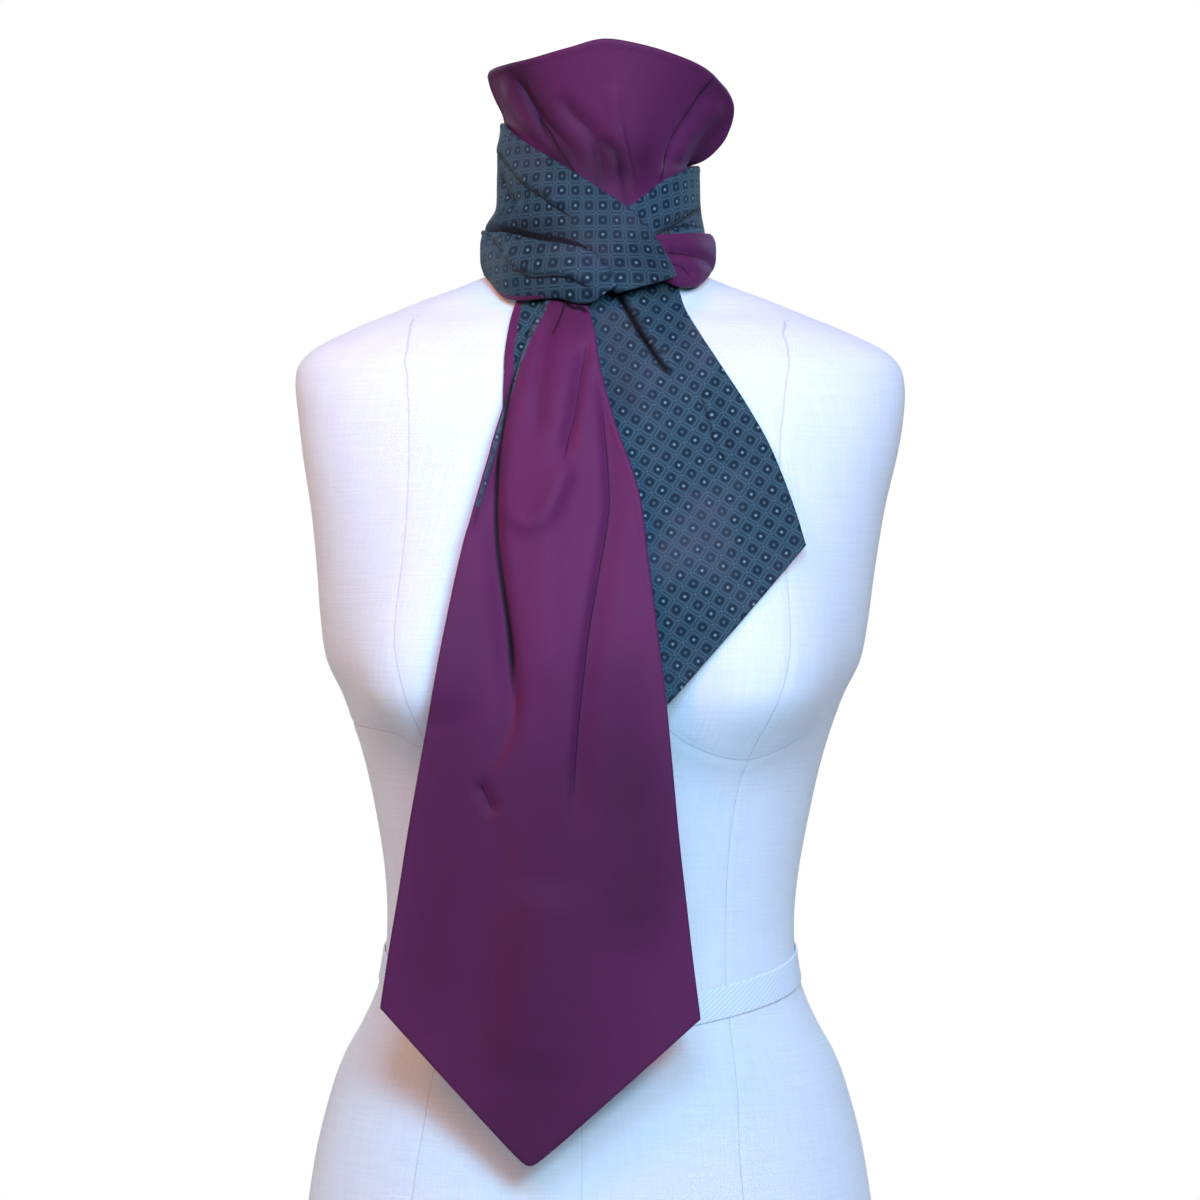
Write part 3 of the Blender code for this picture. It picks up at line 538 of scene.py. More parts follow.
def swelling(name, angle, height):
    """How far a rounded swelling lifts the cloth at each place."""
    at = SWELLINGS[name]
    across = (angle - at["angle"]) / at["width"]
    up = (height - at["height"]) / at["rise"]
    return at["size"] * np.exp(-(across**2) - up**2)


def on_form(angle, height):
    """The radius of cloth that lies on the form, also where the form is nearly level."""
    return form_radius(angle, height - FORM_CLEARANCE) + SEAM


def raised(own, below, share):
    """The band's own radius, lifted clear of the cloth below it where that cloth lies."""
    return np.maximum(own, own + (below + CLOTH + SEAM - own) * share)


def under_radius(angle, height):
    swell = swelling("right_side", angle, height)
    own = neck_side(height) + UNDER_LAYER + under_looseness(angle) + swell
    return own + relief(UNDER_FOLDS, angle, height, ARC) * fade(angle, *UNDER_BAND_COMES_FREE)


def over_own(angle, height):
    knot = swelling("knot", angle, height)
    billow = swelling("billow", angle, height)
    leaning_in = TOP_LEAN * fade(height, *TOP_LEANS_AT) * fade(angle, *TOP_LEANS_FROM)
    own = neck_side(height) + OVER_LAYER + over_looseness(angle) + knot + billow - leaning_in
    return np.maximum(own + relief(OVER_FOLDS, angle, height, ARC), neck_side(height) + UNDER_LAYER)


def lower_plain_own(angle, height):
    drop = LIP_DROP * fade(angle, *PLAIN_EDGES_ROLL)
    own = lower_plain_reach(angle) - drop * rolled(LOWER_PLAIN_BAND, angle, height)
    own = own + relief(LOWER_PLAIN_FOLDS, angle, height, ARC) * fade(angle, *PLAIN_TURN_COMES_FREE)
    own = np.maximum(own, on_form(angle, height))
    return raised(own, under_radius(angle, height), covers(UNDER_BAND, angle, height))


def over_radius(angle, height):
    beneath = covers(LOWER_PLAIN_BAND, angle, height) * fade(angle, *CROSSING_ENDS)
    return raised(over_own(angle, height), lower_plain_own(angle, height), beneath)


def lower_plain_radius(angle, height):
    behind = angle - 360
    beneath = covers(OVER_BAND, behind, height) * fade(angle, *RIGHT_OF_NAPE)
    return raised(lower_plain_own(angle, height), over_own(behind, height), beneath)


def lower_print_radius(angle, height):
    own = lower_print_reach(angle) - LIP_DROP * rolled(LOWER_PRINT_BAND, angle, height)
    own = own + relief(LOWER_PRINT_FOLDS, angle, height, ARC)
    own = np.maximum(own, on_form(angle, height))
    own = raised(own, over_radius(angle, height), covers(OVER_BAND, angle, height))
    return raised(own, lower_plain_radius(angle + 360, height), fade(angle, *LEFT_OF_NAPE))


def throat_radius(angle, height, free_from, rim, rim_radius):
    held = neck_side(height) + THROAT_LAYER
    share = np.clip((height - free_from) / (rim - free_from), 0, 1)
    folds = relief(THROAT_FOLDS, angle, height, ARC) * fade(share, 0, FAN_ROOT)
    return np.maximum(held + (rim_radius - held) * share**FAN_FLARE + folds, held)


# In front of the chest. A row is one crosswise station, with the left and the right end of its line.
TAIL_COLUMNS = ("left_x", "left_height", "right_x", "right_height")

LONG_TAIL = table(
    TAIL_COLUMNS,
    (-24, 671, -8, 670), (-28.7, 657, -5, 654), (-38.2, 637, -0.8, 636), (-44, 620, 1.6, 618),
    (-55.6, 585, 10.3, 586), (-67, 545, 23.8, 545), (-76.6, 505.5, 29.2, 505.5),
    (-84.8, 465, 34.6, 463), (-91.8, 427, 39, 427), (-98, 393, 42.5, 391), (-104.7, 356, 46.4, 350),
    (-110.5, 320, 50.8, 312), (-116, 288, 54.4, 282), (-121, 256, 58.6, 251),
)
SHORT_TAIL = table(
    TAIL_COLUMNS,
    (-42, 668, 40, 680), (-46, 659, 46.5, 671), (-49.5, 646, 52, 654), (-52.2, 627, 62.5, 634.5),
    (-52.7, 612, 74, 616), (-53, 597, 86, 597), (-53, 575, 98.5, 575), (-54.5, 551, 108, 552.5),
    (-57.5, 526.5, 114.9, 533), (-61, 504, 119.4, 517.8),
)
# How far the hanging cloth is from the neck's axis at its middle, and how it curves away to the sides
HANG = table(
    ("height", "depth", "bend"),
    (163, 116, 0.0008), (230, 118, 0.0008), (330, 119, 0.0008), (380, 118.5, 0.0008),
    (432, 117, 0.0008), (465, 113.5, 0.0008), (501, 107, 0.0009), (537, 99.5, 0.0011),
    (573, 90, 0.0015), (600, 81.5, 0.0022), (620, 75, 0.0034), (640, 68, 0.0055),
    (655, 62.2, 0.0092), (668, 56.5, 0.0110), (682, 50.0, 0.0120),
)
# How far the long tail stands in front of the short one, and the short one off the chest, by height
long_tail_clearance = curve([163, 300, 432, 560, 620, 645, 660, 672], [4, 6, 8, 9, 8, 4.6, 1.6, 0])
chest_clearance = curve([580, 660], [1.6, 0.6])
CONTACT_BLEND = 5.0

hang_depth = column(HANG, "height", "depth")
hang_bend = column(HANG, "height", "bend")


def hung(x, height):
    """The back of cloth that hangs from the knot, pushed forward by the chest where it touches."""
    free = hang_depth(height) - hang_bend(height) * x * x
    touching = -chest_front(x, height) + chest_clearance(height)
    return -smooth_max(free, touching, CONTACT_BLEND)


def short_tail_back(x, height):
    return hung(x, height) - relief(SHORT_FOLDS, x, height)


def long_tail_back(x, height):
    lift = CLOTH + SEAM + long_tail_clearance(height)
    return hung(x, height) - lift - relief(LONG_FOLDS, x, height)


# The grid of each sheet: the shares of its length between which its stations are close, how many
# points it has there, elsewhere and across, and how much painted shade its whole colour takes on,
# for the light its neighbours keep out
SHEETS = by_name(
    ("close", "fine", "coarse", "crosswise", "shade"),
    ("throat_panel", (0.0, 1.0), 300, 0, 84, 0.18),
    ("upper_wrap_left", (0.22, 1.0), 290, 44, 84, 0.26),
    ("upper_wrap_right", (0.0, 0.64), 190, 50, 64, 0.0),
    ("lower_wrap_left", (0.2, 1.0), 260, 44, 60, 0.22),
    ("lower_wrap_right", (0.0, 0.6), 200, 50, 60, 0.18),
    ("long_tail", (0.0, 1.0), 230, 0, 210, 0.03),
    ("short_tail", (0.0, 1.0), 190, 0, 190, 0.0),
)
# Where the inside's cloth rolls over the first edge: its width, and between which shares it shows
STRIPS = by_name(
    ("width", "start", "end"),
    ("lower_wrap_left", 2.6, 0.32, 0.62),
    ("long_tail", 3.0, 0.02, 0.4),
    ("short_tail", 4.8, 0.1, 0.62),
)
# The print runs level round the neck at this radius, and slants down across the tails by this angle
PRINT_RADIUS = 66.0
PRINT_SLANT = math.radians(33.2)
# How far a rim stands out, as a share of the cloth's thickness
EDGE_ROUNDING = 0.45
# The turned seam along the long edges: how thick it is, how wide, and how far in as a share of that
SEAM_ROLL = 0.35
SEAM_ROLL_WIDTH = 2.2
SEAM_ROLL_AT = 0.8


def places_along(name):
    """Places from 0 to 1, close together between two shares and wide apart outside them."""
    grid = SHEETS[name]
    first, last = grid["close"]
    places = [np.linspace(first, last, grid["fine"])]
    if first > 0:
        places.append(np.linspace(0, first, grid["coarse"], endpoint=False))
    if last < 1:
        places.append(np.linspace(last, 1, grid["coarse"]))
    return np.unique(np.concatenate(places))[:, None]


def places_across(name):
    return np.linspace(0, 1, SHEETS[name]["crosswise"])[None, :]


def between(name, rows, first, last):
    """Values on a sheet's grid that run across it from one column's to the other's."""
    along = places_along(name)
    share = places_across(name)
    return stations(rows, first)(along) * (1 - share) + stations(rows, last)(along) * share


def tail_places(name, rows, lean):
    """x and height for a grid on a tail whose rows bend into its pointed end."""
    from_middle = np.sqrt((2 * places_across(name) - 1) ** 2 + POINT_BLUNTING**2) - POINT_BLUNTING
    point = (1 - from_middle) * places_along(name) ** 3
    x = between(name, rows, "left_x", "right_x") + lean * point
    return x, between(name, rows, "left_height", "right_height") - TAIL_POINT * point


def round_neck(angle, height, radius):
    turn = np.radians(angle)
    return np.stack([radius * np.sin(turn), -radius * np.cos(turn), height], axis=-1)


def round_form(angle, height, radius):
    """Places round the form, whose middle wanders to the side."""
    points = round_neck(angle, height, radius)
    points[..., 0] += form_middle(height)
    return points


def unit(vectors):
    return vectors / np.maximum(np.linalg.norm(vectors, axis=-1, keepdims=True), 1e-9)


def running_length(points, axis):
    """How far along the cloth each point is from the grid's first row or column, in millimetres."""
    steps = np.linalg.norm(np.diff(points, axis=axis), axis=-1)
    start = np.zeros_like(np.take(steps, [0], axis=axis))
    return np.concatenate([start, np.cumsum(steps, axis=axis)], axis=axis)


def cloth_coordinates(points):
    """Lengths along and across the cloth, measured from its middle line."""
    middle = points.shape[1] // 2
    along = running_length(points, 0)[:, middle][:, None] + np.zeros(points.shape[:2])
    across = running_length(points, 1)
    return np.stack([along, across - across[:, middle][:, None]], axis=-1)


def border(columns, crosswise):
    """The grid's outermost points as (column, place) pairs, once round."""
    near = [(i, 0) for i in range(columns - 1)]
    far = [(columns - 1, j) for j in range(crosswise - 1)]
    back = [(i, crosswise - 1) for i in range(columns - 1, 0, -1)]
    home = [(0, j) for j in range(crosswise - 1, 0, -1)]
    return near + far + back + home


def corners(first, second, third, fourth):
    """Four grids of point numbers as the corners of faces."""
    return np.stack([first, second, third, fourth], axis=-1).reshape(-1, 4)


def add_mesh(name, points, faces, surfaces, face_surfaces):
    """A smooth mesh from points in millimetres, with a material's index for each face."""
    mesh = bpy.data.meshes.new(name)
    mesh.from_pydata((np.asarray(points) * MM).tolist(), [], faces)
    for surface in surfaces:
        mesh.materials.append(surface)
    mesh.polygons.foreach_set("material_index", np.asarray(face_surfaces, dtype=np.int32))
    mesh.shade_smooth()
    made = bpy.data.objects.new(name, mesh)
    bpy.context.scene.collection.objects.link(made)
    return made


def add_coordinates(mesh, places):
    """Cloth coordinates in metres, as the mesh's UV map."""
    layer = mesh.uv_layers.new(name="cloth")
    corner_points = np.zeros(len(mesh.loops), dtype=np.int32)
    mesh.loops.foreach_get("vertex_index", corner_points)
    layer.data.foreach_set("uv", (np.asarray(places)[corner_points] * MM).astype(np.float32).ravel())


def add_values(mesh, name, values):
    """One number or vector for each point, which the materials read by its name."""
    kind, key = ("FLOAT_VECTOR", "vector") if values.shape[-1] == 3 else ("FLOAT", "value")
    layer = mesh.attributes.new(name=name, type=kind, domain="POINT")
    layer.data.foreach_set(key, values.astype(np.float32).ravel())


def turned_over(name, across):
    """Which points of the outside show the inside's cloth, rolled over the grid's first edge."""
    strip = STRIPS[name]
    share = places_along(name)
    return (across - across[:, :1] < strip["width"]) & (share > strip["start"]) & (share < strip["end"])


def shell(name, points, surfaces, values, print_places=None):
    """A closed sheet of cloth on a grid of points on the wearer's side, with rolled edges.

    The surfaces are the outside's and the inside's. The print lies on its own places where they
    are given, and otherwise runs along the sheet.
    """
    columns, crosswise, _ = points.shape
    normal = unit(np.cross(np.gradient(points, axis=0), np.gradient(points, axis=1)))
    where = cloth_coordinates(points)
    across = where[..., 1]
    from_edge = np.minimum(across - across[:, :1], across[:, -1:] - across)
    thickness = CLOTH + SEAM_ROLL * np.exp(-((from_edge / SEAM_ROLL_WIDTH - SEAM_ROLL_AT) ** 2) * 2)
    outside = points + normal * thickness[..., None]

    i, j = np.array(border(columns, crosswise)).T
    out = unit(points[i, j] - points[np.clip(i, 1, columns - 2), np.clip(j, 1, crosswise - 2)])
    rolled_rim = points[i, j] + normal[i, j] * CLOTH / 2 + out * CLOTH * EDGE_ROUNDING

    count = columns * crosswise
    number = np.arange(count).reshape(columns, crosswise)
    quads = corners(number[:-1, :-1], number[1:, :-1], number[1:, 1:], number[:-1, 1:])
    inner = number[i, j]
    middle = 2 * count + np.arange(len(i))
    after_inner = np.roll(inner, -1)
    after_middle = np.roll(middle, -1)
    upper = corners(after_inner + count, inner + count, middle, after_middle)
    lower = corners(after_middle, middle, inner, after_inner)
    faces = np.concatenate([quads + count, quads[:, ::-1], upper, lower])

    turned = np.zeros(len(quads))
    if name in STRIPS:
        rolled_over = turned_over(name, across)
        turned = rolled_over[:-1, :-1].ravel()
        values = {**values, "rolled": rolled_over.astype(float)}
    indexes = np.concatenate([turned, np.ones(len(quads)), np.zeros(len(upper)), np.ones(len(lower))])
    all_points = np.concatenate([points.reshape(-1, 3), outside.reshape(-1, 3), rolled_rim])
    made = add_mesh(name + "_cloth", all_points, faces.tolist(), surfaces, indexes)
    places = where if print_places is None else print_places
    add_coordinates(made.data, np.concatenate([places.reshape(-1, 2)] * 2 + [places[i, j]]))
    for key, value in values.items():
        value = value.reshape(columns, crosswise, -1)
        plain = value.reshape(count, -1)
        add_values(made.data, key, np.concatenate([plain, plain, value[i, j]]))
    return made


def dress(made, name):
    """Attaches a finished piece to the root body and hides the CAD node that it stands for."""
    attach(made, "root")
    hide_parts(name)


def sheet(name, points, sides, folds, across, height, stretch=1.0, print_places=None):
    """One stretch of the cravat. Its materials read its painted shade, painted red glow and creases."""
    # Painted shade: the sheet's own share, for the light its neighbours keep out, with its folds'
    # painted shade
    dark = np.clip(SHEETS[name]["shade"] + relief(folds, across, height, stretch, "dark"), 0, 1)
    # Painted red reflections on the long tail, where light comes back from its next fold
    red = relief(PAINTED_RED_REFLECTIONS, across, height) if name == "long_tail" else np.zeros_like(across)
    values = {"dark": dark, "red": red, **creases(name, across, height, stretch)}
    surfaces, slot = sides
    made = shell(name, points, surfaces, values, print_places)
    dress(made, name)


def band(name, rows, radius, folds, sides, level_print=False):
    """A stretch of cloth round the neck. A level print has its rows level on the neck."""
    angle = between(name, rows, "foot_angle", "top_angle")
    height = between(name, rows, "foot_height", "top_height")
    points = round_neck(angle, height, radius(angle, height))
    level = np.stack([np.radians(angle) * PRINT_RADIUS, height], axis=-1) if level_print else None
    sheet(name, points, sides, folds, angle, height, ARC, level)


def throat_panel(sides):
    """The stand-up fan. Its shape is given by the angle, so its stations are at equal angles."""
    share = places_across("throat_panel")
    first, last = THROAT["angle"][0], THROAT["angle"][-1]
    angle = first + (last - first) * places_along("throat_panel")
    keys = ("foot", "free_from", "rim", "rim_radius")
    foot, free_from, rim, rim_radius = (column(THROAT, "angle", key)(angle) for key in keys)
    height = foot + (rim - foot) * share
    angle = angle + 0 * share
    points = round_neck(angle, height, throat_radius(angle, height, free_from, rim, rim_radius))
    sheet("throat_panel", points, sides, THROAT_FOLDS, angle, height, ARC)


def tail(name, rows, lean, back, folds, sides):
    """A stretch of cloth that hangs in front of the chest."""
    x, height = tail_places(name, rows, lean)
    points = np.stack([x, back(x, height), height], axis=-1)
    down_row = x * math.cos(PRINT_SLANT) - height * math.sin(PRINT_SLANT)
    up_row = x * math.sin(PRINT_SLANT) + height * math.cos(PRINT_SLANT)
    sheet(name, points, sides, folds, x, height, print_places=np.stack([down_row, up_row], axis=-1))


def node(tree, kind, inputs=(), **settings):
    """A new shader node. An input is a number, a colour or another node's output."""
    made = tree.nodes.new(kind)
    for key, value in settings.items():
        setattr(made, key, value)
    for socket, value in dict(inputs).items():
        if isinstance(value, bpy.types.NodeSocket):
            tree.links.new(value, made.inputs[socket])
        else:
            made.inputs[socket].default_value = value
    return made


def output_of(kind, inputs, output=0, **settings):
    """The output of a new node in the same tree as the sockets that it reads."""
    tree = next(value.id_data for value in inputs.values() if isinstance(value, bpy.types.NodeSocket))
    return node(tree, kind, inputs, **settings).outputs[output]


def calc(operation, *values):
    return output_of("ShaderNodeMath", dict(enumerate(values)), operation=operation)


def times(first, second):
    return calc("MULTIPLY", first, second)


def ramp(value, start, end):
    """0 at the start, 1 at the end and smooth in between. The start may be the larger one."""
    inputs = {"Value": value, "From Min": start, "From Max": end}
    return output_of("ShaderNodeMapRange", inputs, interpolation_type="SMOOTHSTEP")


def mixed(share, first, second):
    """The second colour laid over the first. A colour is three numbers or a node's output."""
    inputs = {0: share}
    for socket, colour in ((6, first), (7, second)):
        inputs[socket] = colour if isinstance(colour, bpy.types.NodeSocket) else (*colour, 1)
    return output_of("ShaderNodeMix", inputs, 2, data_type="RGBA")


def attribute(tree, name, output="Fac"):
    return node(tree, "ShaderNodeAttribute", attribute_name=name).outputs[output]


def noise(where, scale, detail=2.0):
    return output_of("ShaderNodeTexNoise", {"Vector": where, "Scale": scale, "Detail": detail}, "Fac")


def scaled(where, scale, degrees=0.0):
    inputs = {"Vector": where, "Rotation": (0, 0, math.radians(degrees)), "Scale": scale}
    return output_of("ShaderNodeMapping", inputs, "Vector")


def parts_of(vector):
    return node(vector.id_data, "ShaderNodeSeparateXYZ", {0: vector}).outputs


# What each material's shader is set to
SHADERS = by_name(
    ("Roughness", "Specular IOR Level", "Sheen Weight", "Sheen Roughness", "Sheen Tint"),
    ("plum_cloth", 0.6, 0.14, 0.08, 0.4, (0.62, 0.42, 1.0, 1)),
    ("printed_cloth", 0.66, 0.14, 0.05, 0.45, (0.85, 0.78, 0.85, 1)),
    ("linen_cover", 0.88, 0.2, 0.12, 0.6, (1, 1, 1, 1)),
    ("cotton_tape", 0.8, 0.2, 0.1, 0.5, (1, 1, 1, 1)),
)


def material(name, looks):
    """A material whose colour, relief and depth of relief in metres come from its looks."""
    made = bpy.data.materials.new(name + "_looks")
    made.use_nodes = True
    tree = made.node_tree
    shader = tree.nodes["Principled BSDF"]
    for key, value in SHADERS[name].items():
        shader.inputs[key].default_value = value
    colour, height, depth = looks(tree, attribute(tree, "cloth", "Vector"))
    tree.links.new(colour, shader.inputs["Base Color"])
    bump = node(tree, "ShaderNodeBump", {"Height": height, "Distance": depth, "Strength": 1.0})
    tree.links.new(bump.outputs["Normal"], shader.inputs["Normal"])
    return made


def nearest_line(tree, groups, reach):
    """The smallest distance to the lines whose signed distances are in the groups' vectors."""
    nearest = reach
    for group in groups:
        for part in parts_of(attribute(tree, group, "Vector")):
            nearest = calc("MINIMUM", calc("ABSOLUTE", part), nearest)
    return nearest


# A crease's painted shade is darkest within the second of these half widths of its line, and gone
# past the first
CREASE_RAMP = (1.7, 0.3)
# How deep the painted shade goes at most, and the near black that it goes towards
DEEPEST_PAINTED_SHADE = 0.96
PAINTED_SHADE_COLOUR = (0.004, 0.002, 0.005)


def with_painted_shade(tree, colour):
    """The colour, with painted shade laid into it in the folds and along the creases."""
    crease = ramp(nearest_line(tree, CREASE_GROUPS, CREASE_REACH), *CREASE_RAMP)
    crease = times(crease, attribute(tree, "crease_painted_shade"))
    share = times(calc("MAXIMUM", attribute(tree, "dark"), crease), DEEPEST_PAINTED_SHADE)
    return mixed(share, colour, PAINTED_SHADE_COLOUR)


def weave(where, threads):
    """A plain weave of that many threads to a metre, from 0 in the gaps to 1 on the threads."""
    parts = parts_of(scaled(where, (threads, threads, 1)))
    warp, weft = (calc("SINE", times(parts[k], math.pi)) for k in (0, 1))
    return calc("MULTIPLY_ADD", times(warp, weft), 0.5, 0.5)


# The weaves, in threads to a metre, and how far each cloth's relief stands up, in metres
PLUM_THREADS = 2400
PRINT_THREADS = 2200
LINEN_THREADS = 1250
COTTON_RELIEF = 0.00012
LINEN_RELIEF = 0.0002
TAPE_RELIEF = 0.00015


def plum_looks(tree, where):
    """A smooth shot cloth: plum, with fine slanting threads and painted red reflections in some folds.
    """
    deep_plum, plum = (0.108, 0.0142, 0.067), (0.138, 0.0185, 0.081)
    thread, red = (0.155, 0.032, 0.12), (0.15, 0.012, 0.05)
    threads = noise(scaled(where, (260, 2600, 1), 45), 1.0)
    colour = mixed(noise(where, 22.0, 3.0), deep_plum, plum)
    colour = mixed(calc("MULTIPLY_ADD", threads, 0.5, -0.1), colour, thread)
    # Painted reflected light: red laid into the colour where the red attribute says
    colour = mixed(times(attribute(tree, "red"), 0.7), colour, red)
    relief_height = calc("ADD", threads, times(weave(where, PLUM_THREADS), 0.5))
    return with_painted_shade(tree, colour), relief_height, COTTON_RELIEF


# The print's repeat in metres. The places and widths below are shares of it, from a medallion's
# middle: two ruled lines with how strongly each shows, the gap between squares, and the petals,
# which are a number and a depth
PRINT_PITCH = 0.00875
RULES = ((0.37, 0.85), (0.43, 0.7))
RULE_WIDTH = 0.016
GAP_AT = 0.5
GAP_WIDTH = 0.03
PETALS = 10.0
PETAL_DEPTH = 0.02
# Where each spot of the print starts to show and where it is full
CORNER_DOT = (0.43, 0.47)
MEDALLION = (0.33, 0.27)
HEART = (0.19, 0.14)
EYE = (0.12, 0.05)


def print_line(value, at, half_width):
    """1 where the value is within half a line's width of a place, falling smoothly to 0."""
    away = calc("ABSOLUTE", calc("SUBTRACT", value, at))
    return ramp(away, half_width * 1.6, half_width * 0.5)


def medallion_print(where):
    """A small foulard print: a petalled medallion with a pale eye in each of its ruled squares."""
    ground, rule, dot = (0.0215, 0.0515, 0.070), (0.066, 0.122, 0.146), (0.13, 0.22, 0.25)
    navy, deep, pale = (0.0105, 0.031, 0.047), (0.0052, 0.019, 0.031), (0.20, 0.32, 0.32)
    parts = parts_of(scaled(where, (1 / PRINT_PITCH, 1 / PRINT_PITCH, 1)))
    u, v = (calc("SUBTRACT", calc("FRACT", parts[k]), 0.5) for k in (0, 1))
    far = calc("SQRT", calc("ADD", times(u, u), times(v, v)))
    petals = times(calc("COSINE", times(calc("ARCTAN2", v, u), PETALS)), PETAL_DEPTH)
    side_u, side_v = calc("ABSOLUTE", u), calc("ABSOLUTE", v)
    side = calc("MAXIMUM", side_u, side_v)

    colour = ground
    for at, share in RULES:
        colour = mixed(times(print_line(side, at, RULE_WIDTH), share), colour, rule)
    colour = mixed(times(print_line(side, GAP_AT, GAP_WIDTH), 0.4), colour, navy)
    colour = mixed(times(ramp(calc("MINIMUM", side_u, side_v), *CORNER_DOT), 0.6), colour, dot)
    colour = mixed(ramp(calc("SUBTRACT", far, petals), *MEDALLION), colour, deep)
    colour = mixed(ramp(far, *HEART), colour, navy)
    square = calc("ADD", calc("FLOOR", parts[0]), calc("FLOOR", parts[1]))
    every_second = calc("MULTIPLY_ADD", calc("PINGPONG", square, 1.0), 0.62, 0.3)
    return mixed(times(ramp(far, *EYE), every_second), colour, pale)


def print_looks(tree, where):
    """The printed side: deep teal blue with the small print and greyer drifts."""
    grey, painted_edge_highlight = (0.13, 0.12, 0.15), (0.15, 0.15, 0.17)
    drifts = times(ramp(noise(where, 18.0, 3.0), 0.45, 0.7), 0.22)
    colour = mixed(drifts, medallion_print(where), grey)
    # Painted highlight: the rolled-over edge is greyed a little, as where light catches the fold
    colour = mixed(times(attribute(tree, "rolled"), 0.2), colour, painted_edge_highlight)
    threads = noise(scaled(where, (400, 2400, 1)), 1.0)
    relief_height = calc("ADD", threads, times(weave(where, PRINT_THREADS), 0.6))
    return with_painted_shade(tree, colour), relief_height, COTTON_RELIEF


def linen_looks(tree, where):
    """A pale slubby linen, a little uneven, with a fine dark line down each seam."""
    shaded, light = (0.81, 0.81, 0.82), (0.87, 0.87, 0.88)
    cream, seam = (0.82, 0.81, 0.80), (0.20, 0.20, 0.22)
    upright = noise(scaled(where, (900, 26, 1)), 1.0, 3.0)
    level = noise(scaled(where, (26, 900, 1)), 1.0, 3.0)
    slubs = calc("MULTIPLY_ADD", calc("ADD", upright, level), 0.5, 0.0)
    colour = mixed(ramp(slubs, 0.38, 0.62), shaded, light)
    colour = mixed(times(noise(where, 9.0, 3.0), 0.25), colour, cream)
    line = times(ramp(nearest_line(tree, SEAM_GROUPS, SEAM_REACH), *SEAM_LINE), 0.3)
    relief_height = calc("MULTIPLY_ADD", weave(where, LINEN_THREADS), 0.5, slubs)
    return mixed(line, colour, seam), relief_height, LINEN_RELIEF


def tape_looks(tree, where):
    """A narrow twill tape with slanting ribs."""
    inputs = {"Vector": scaled(where, (1, 1, 1), 60), "Scale": 140.0}
    ribs = output_of("ShaderNodeTexWave", inputs, "Fac", bands_direction="X")
    fibres = noise(scaled(where, (1500, 300, 1)), 1.0)
    colour = mixed(ribs, (0.74, 0.77, 0.80), (0.88, 0.90, 0.93))
    return colour, calc("MULTIPLY_ADD", fibres, 0.4, ribs), TAPE_RELIEF


# The form's seams. The front ones are given by x and height, the back ones by angle and height.
FRONT_SEAMS = {
    "left_princess": [(-108.3, 648.9), (-110, 631.8), (-109.5, 603.9), (-108.3, 569.7), (-108.9, 541.7),
        (-111.2, 505.8), (-114.6, 460.2), (-109.5, 434), (-103.2, 415.2), (-96.9, 399.2), (-88, 370),
        (-84, 330), (-84, 290), (-87, 245), (-96.6, 196.5), (-105.8, 139.9), (-110, 0)],
    "right_princess": [(112.3, 647.8), (110.6, 633.5), (108.9, 597), (106, 560), (108.5, 510),
        (110.6, 460.2), (109.5, 446.5), (103.2, 425.4), (94.6, 406.6), (87.8, 391.8), (83.2, 376.4),
        (79.2, 355.3), (76.4, 326.2), (75.8, 297.2), (75.8, 260.1), (77.4, 240.4), (79.7, 220.4),
        (83.7, 138.9), (86, 0)],
    "centre_front": [(-6, 640), (-6, 500), (-7, 300), (-8, 150), (-8, 0)],
    "left_bust": [(-150, 410), (-130, 408), (-114.5, 405.9), (-104.8, 399.7), (-97.5, 398.6)],
    "right_bust": [(43.1, 407.6), (53.8, 400.3), (70.8, 393.5), (86.7, 391.2), (100.9, 394.6),
        (117.3, 402)],
}
BACK_SEAMS = {
    "left_side": [(-92, 610), (-92, 450), (-92, 260), (-92, 0)],
    "right_side": [(92, 610), (92, 450), (92, 260), (92, 0)],
    "left_back": [(-128, 630), (-136, 480), (-146, 270), (-140, 0)],
    "right_back": [(128, 630), (136, 480), (146, 270), (140, 0)],
}
SEAM_GROUPS = {
    "seams_front": ("left_princess", "right_princess", "centre_front"),
    "seams_bust": ("left_bust", "right_bust", "left_side"),
    "seams_back": ("left_back", "right_back", "right_side"),
}
# In millimetres: where distances from the seams are cut off, and where the dark line shows and is full
SEAM_REACH = 9.0
SEAM_LINE = (0.6, 0.15)
# A seam sinks by its depth and swells as much beside it, this far from its line and this wide
SEAM_DEPTH = 0.3
SEAM_WIDTH = 1.7
SEAM_BESIDE = 4.2
SEAM_BESIDE_WIDTH = 2.0
# One degree round the form is about this long on its cover, and its weave lies on this radius
FORM_ARC = 2.6
LINEN_RADIUS = 150
# The form's grid: angles closest in front, heights closest at the underside and the top
FORM_ANGLES = np.concatenate(
    [np.linspace(-96, 96, 190, endpoint=False), np.linspace(96, 264, 84, endpoint=False)]
)
FORM_HEIGHTS = np.concatenate(
    [
        np.linspace(0, 12, 5, endpoint=False),
        np.linspace(12, 740, 270),
        (NECK_SHOULDER, 744, 745.5, 746.5, 747.3, NECK_TOP),
    ]
)


def seam_distances(angle, height):
    """Millimetres from each seam, negative on one side of it, cut off at SEAM_REACH."""
    paths = dict(BACK_SEAMS)
    for name, path in FRONT_SEAMS.items():
        x, z = np.array(path, float).T
        paths[name] = list(zip(np.degrees(np.arctan2(x - form_middle(z), -chest_front(x, z))), z))
    distances = {}
    for name, path in paths.items():
        nearest, _, side = from_path(path, angle, height, FORM_ARC)
        distances[name] = np.where(side > 0, 1, -1) * np.minimum(nearest, SEAM_REACH)
    return distances


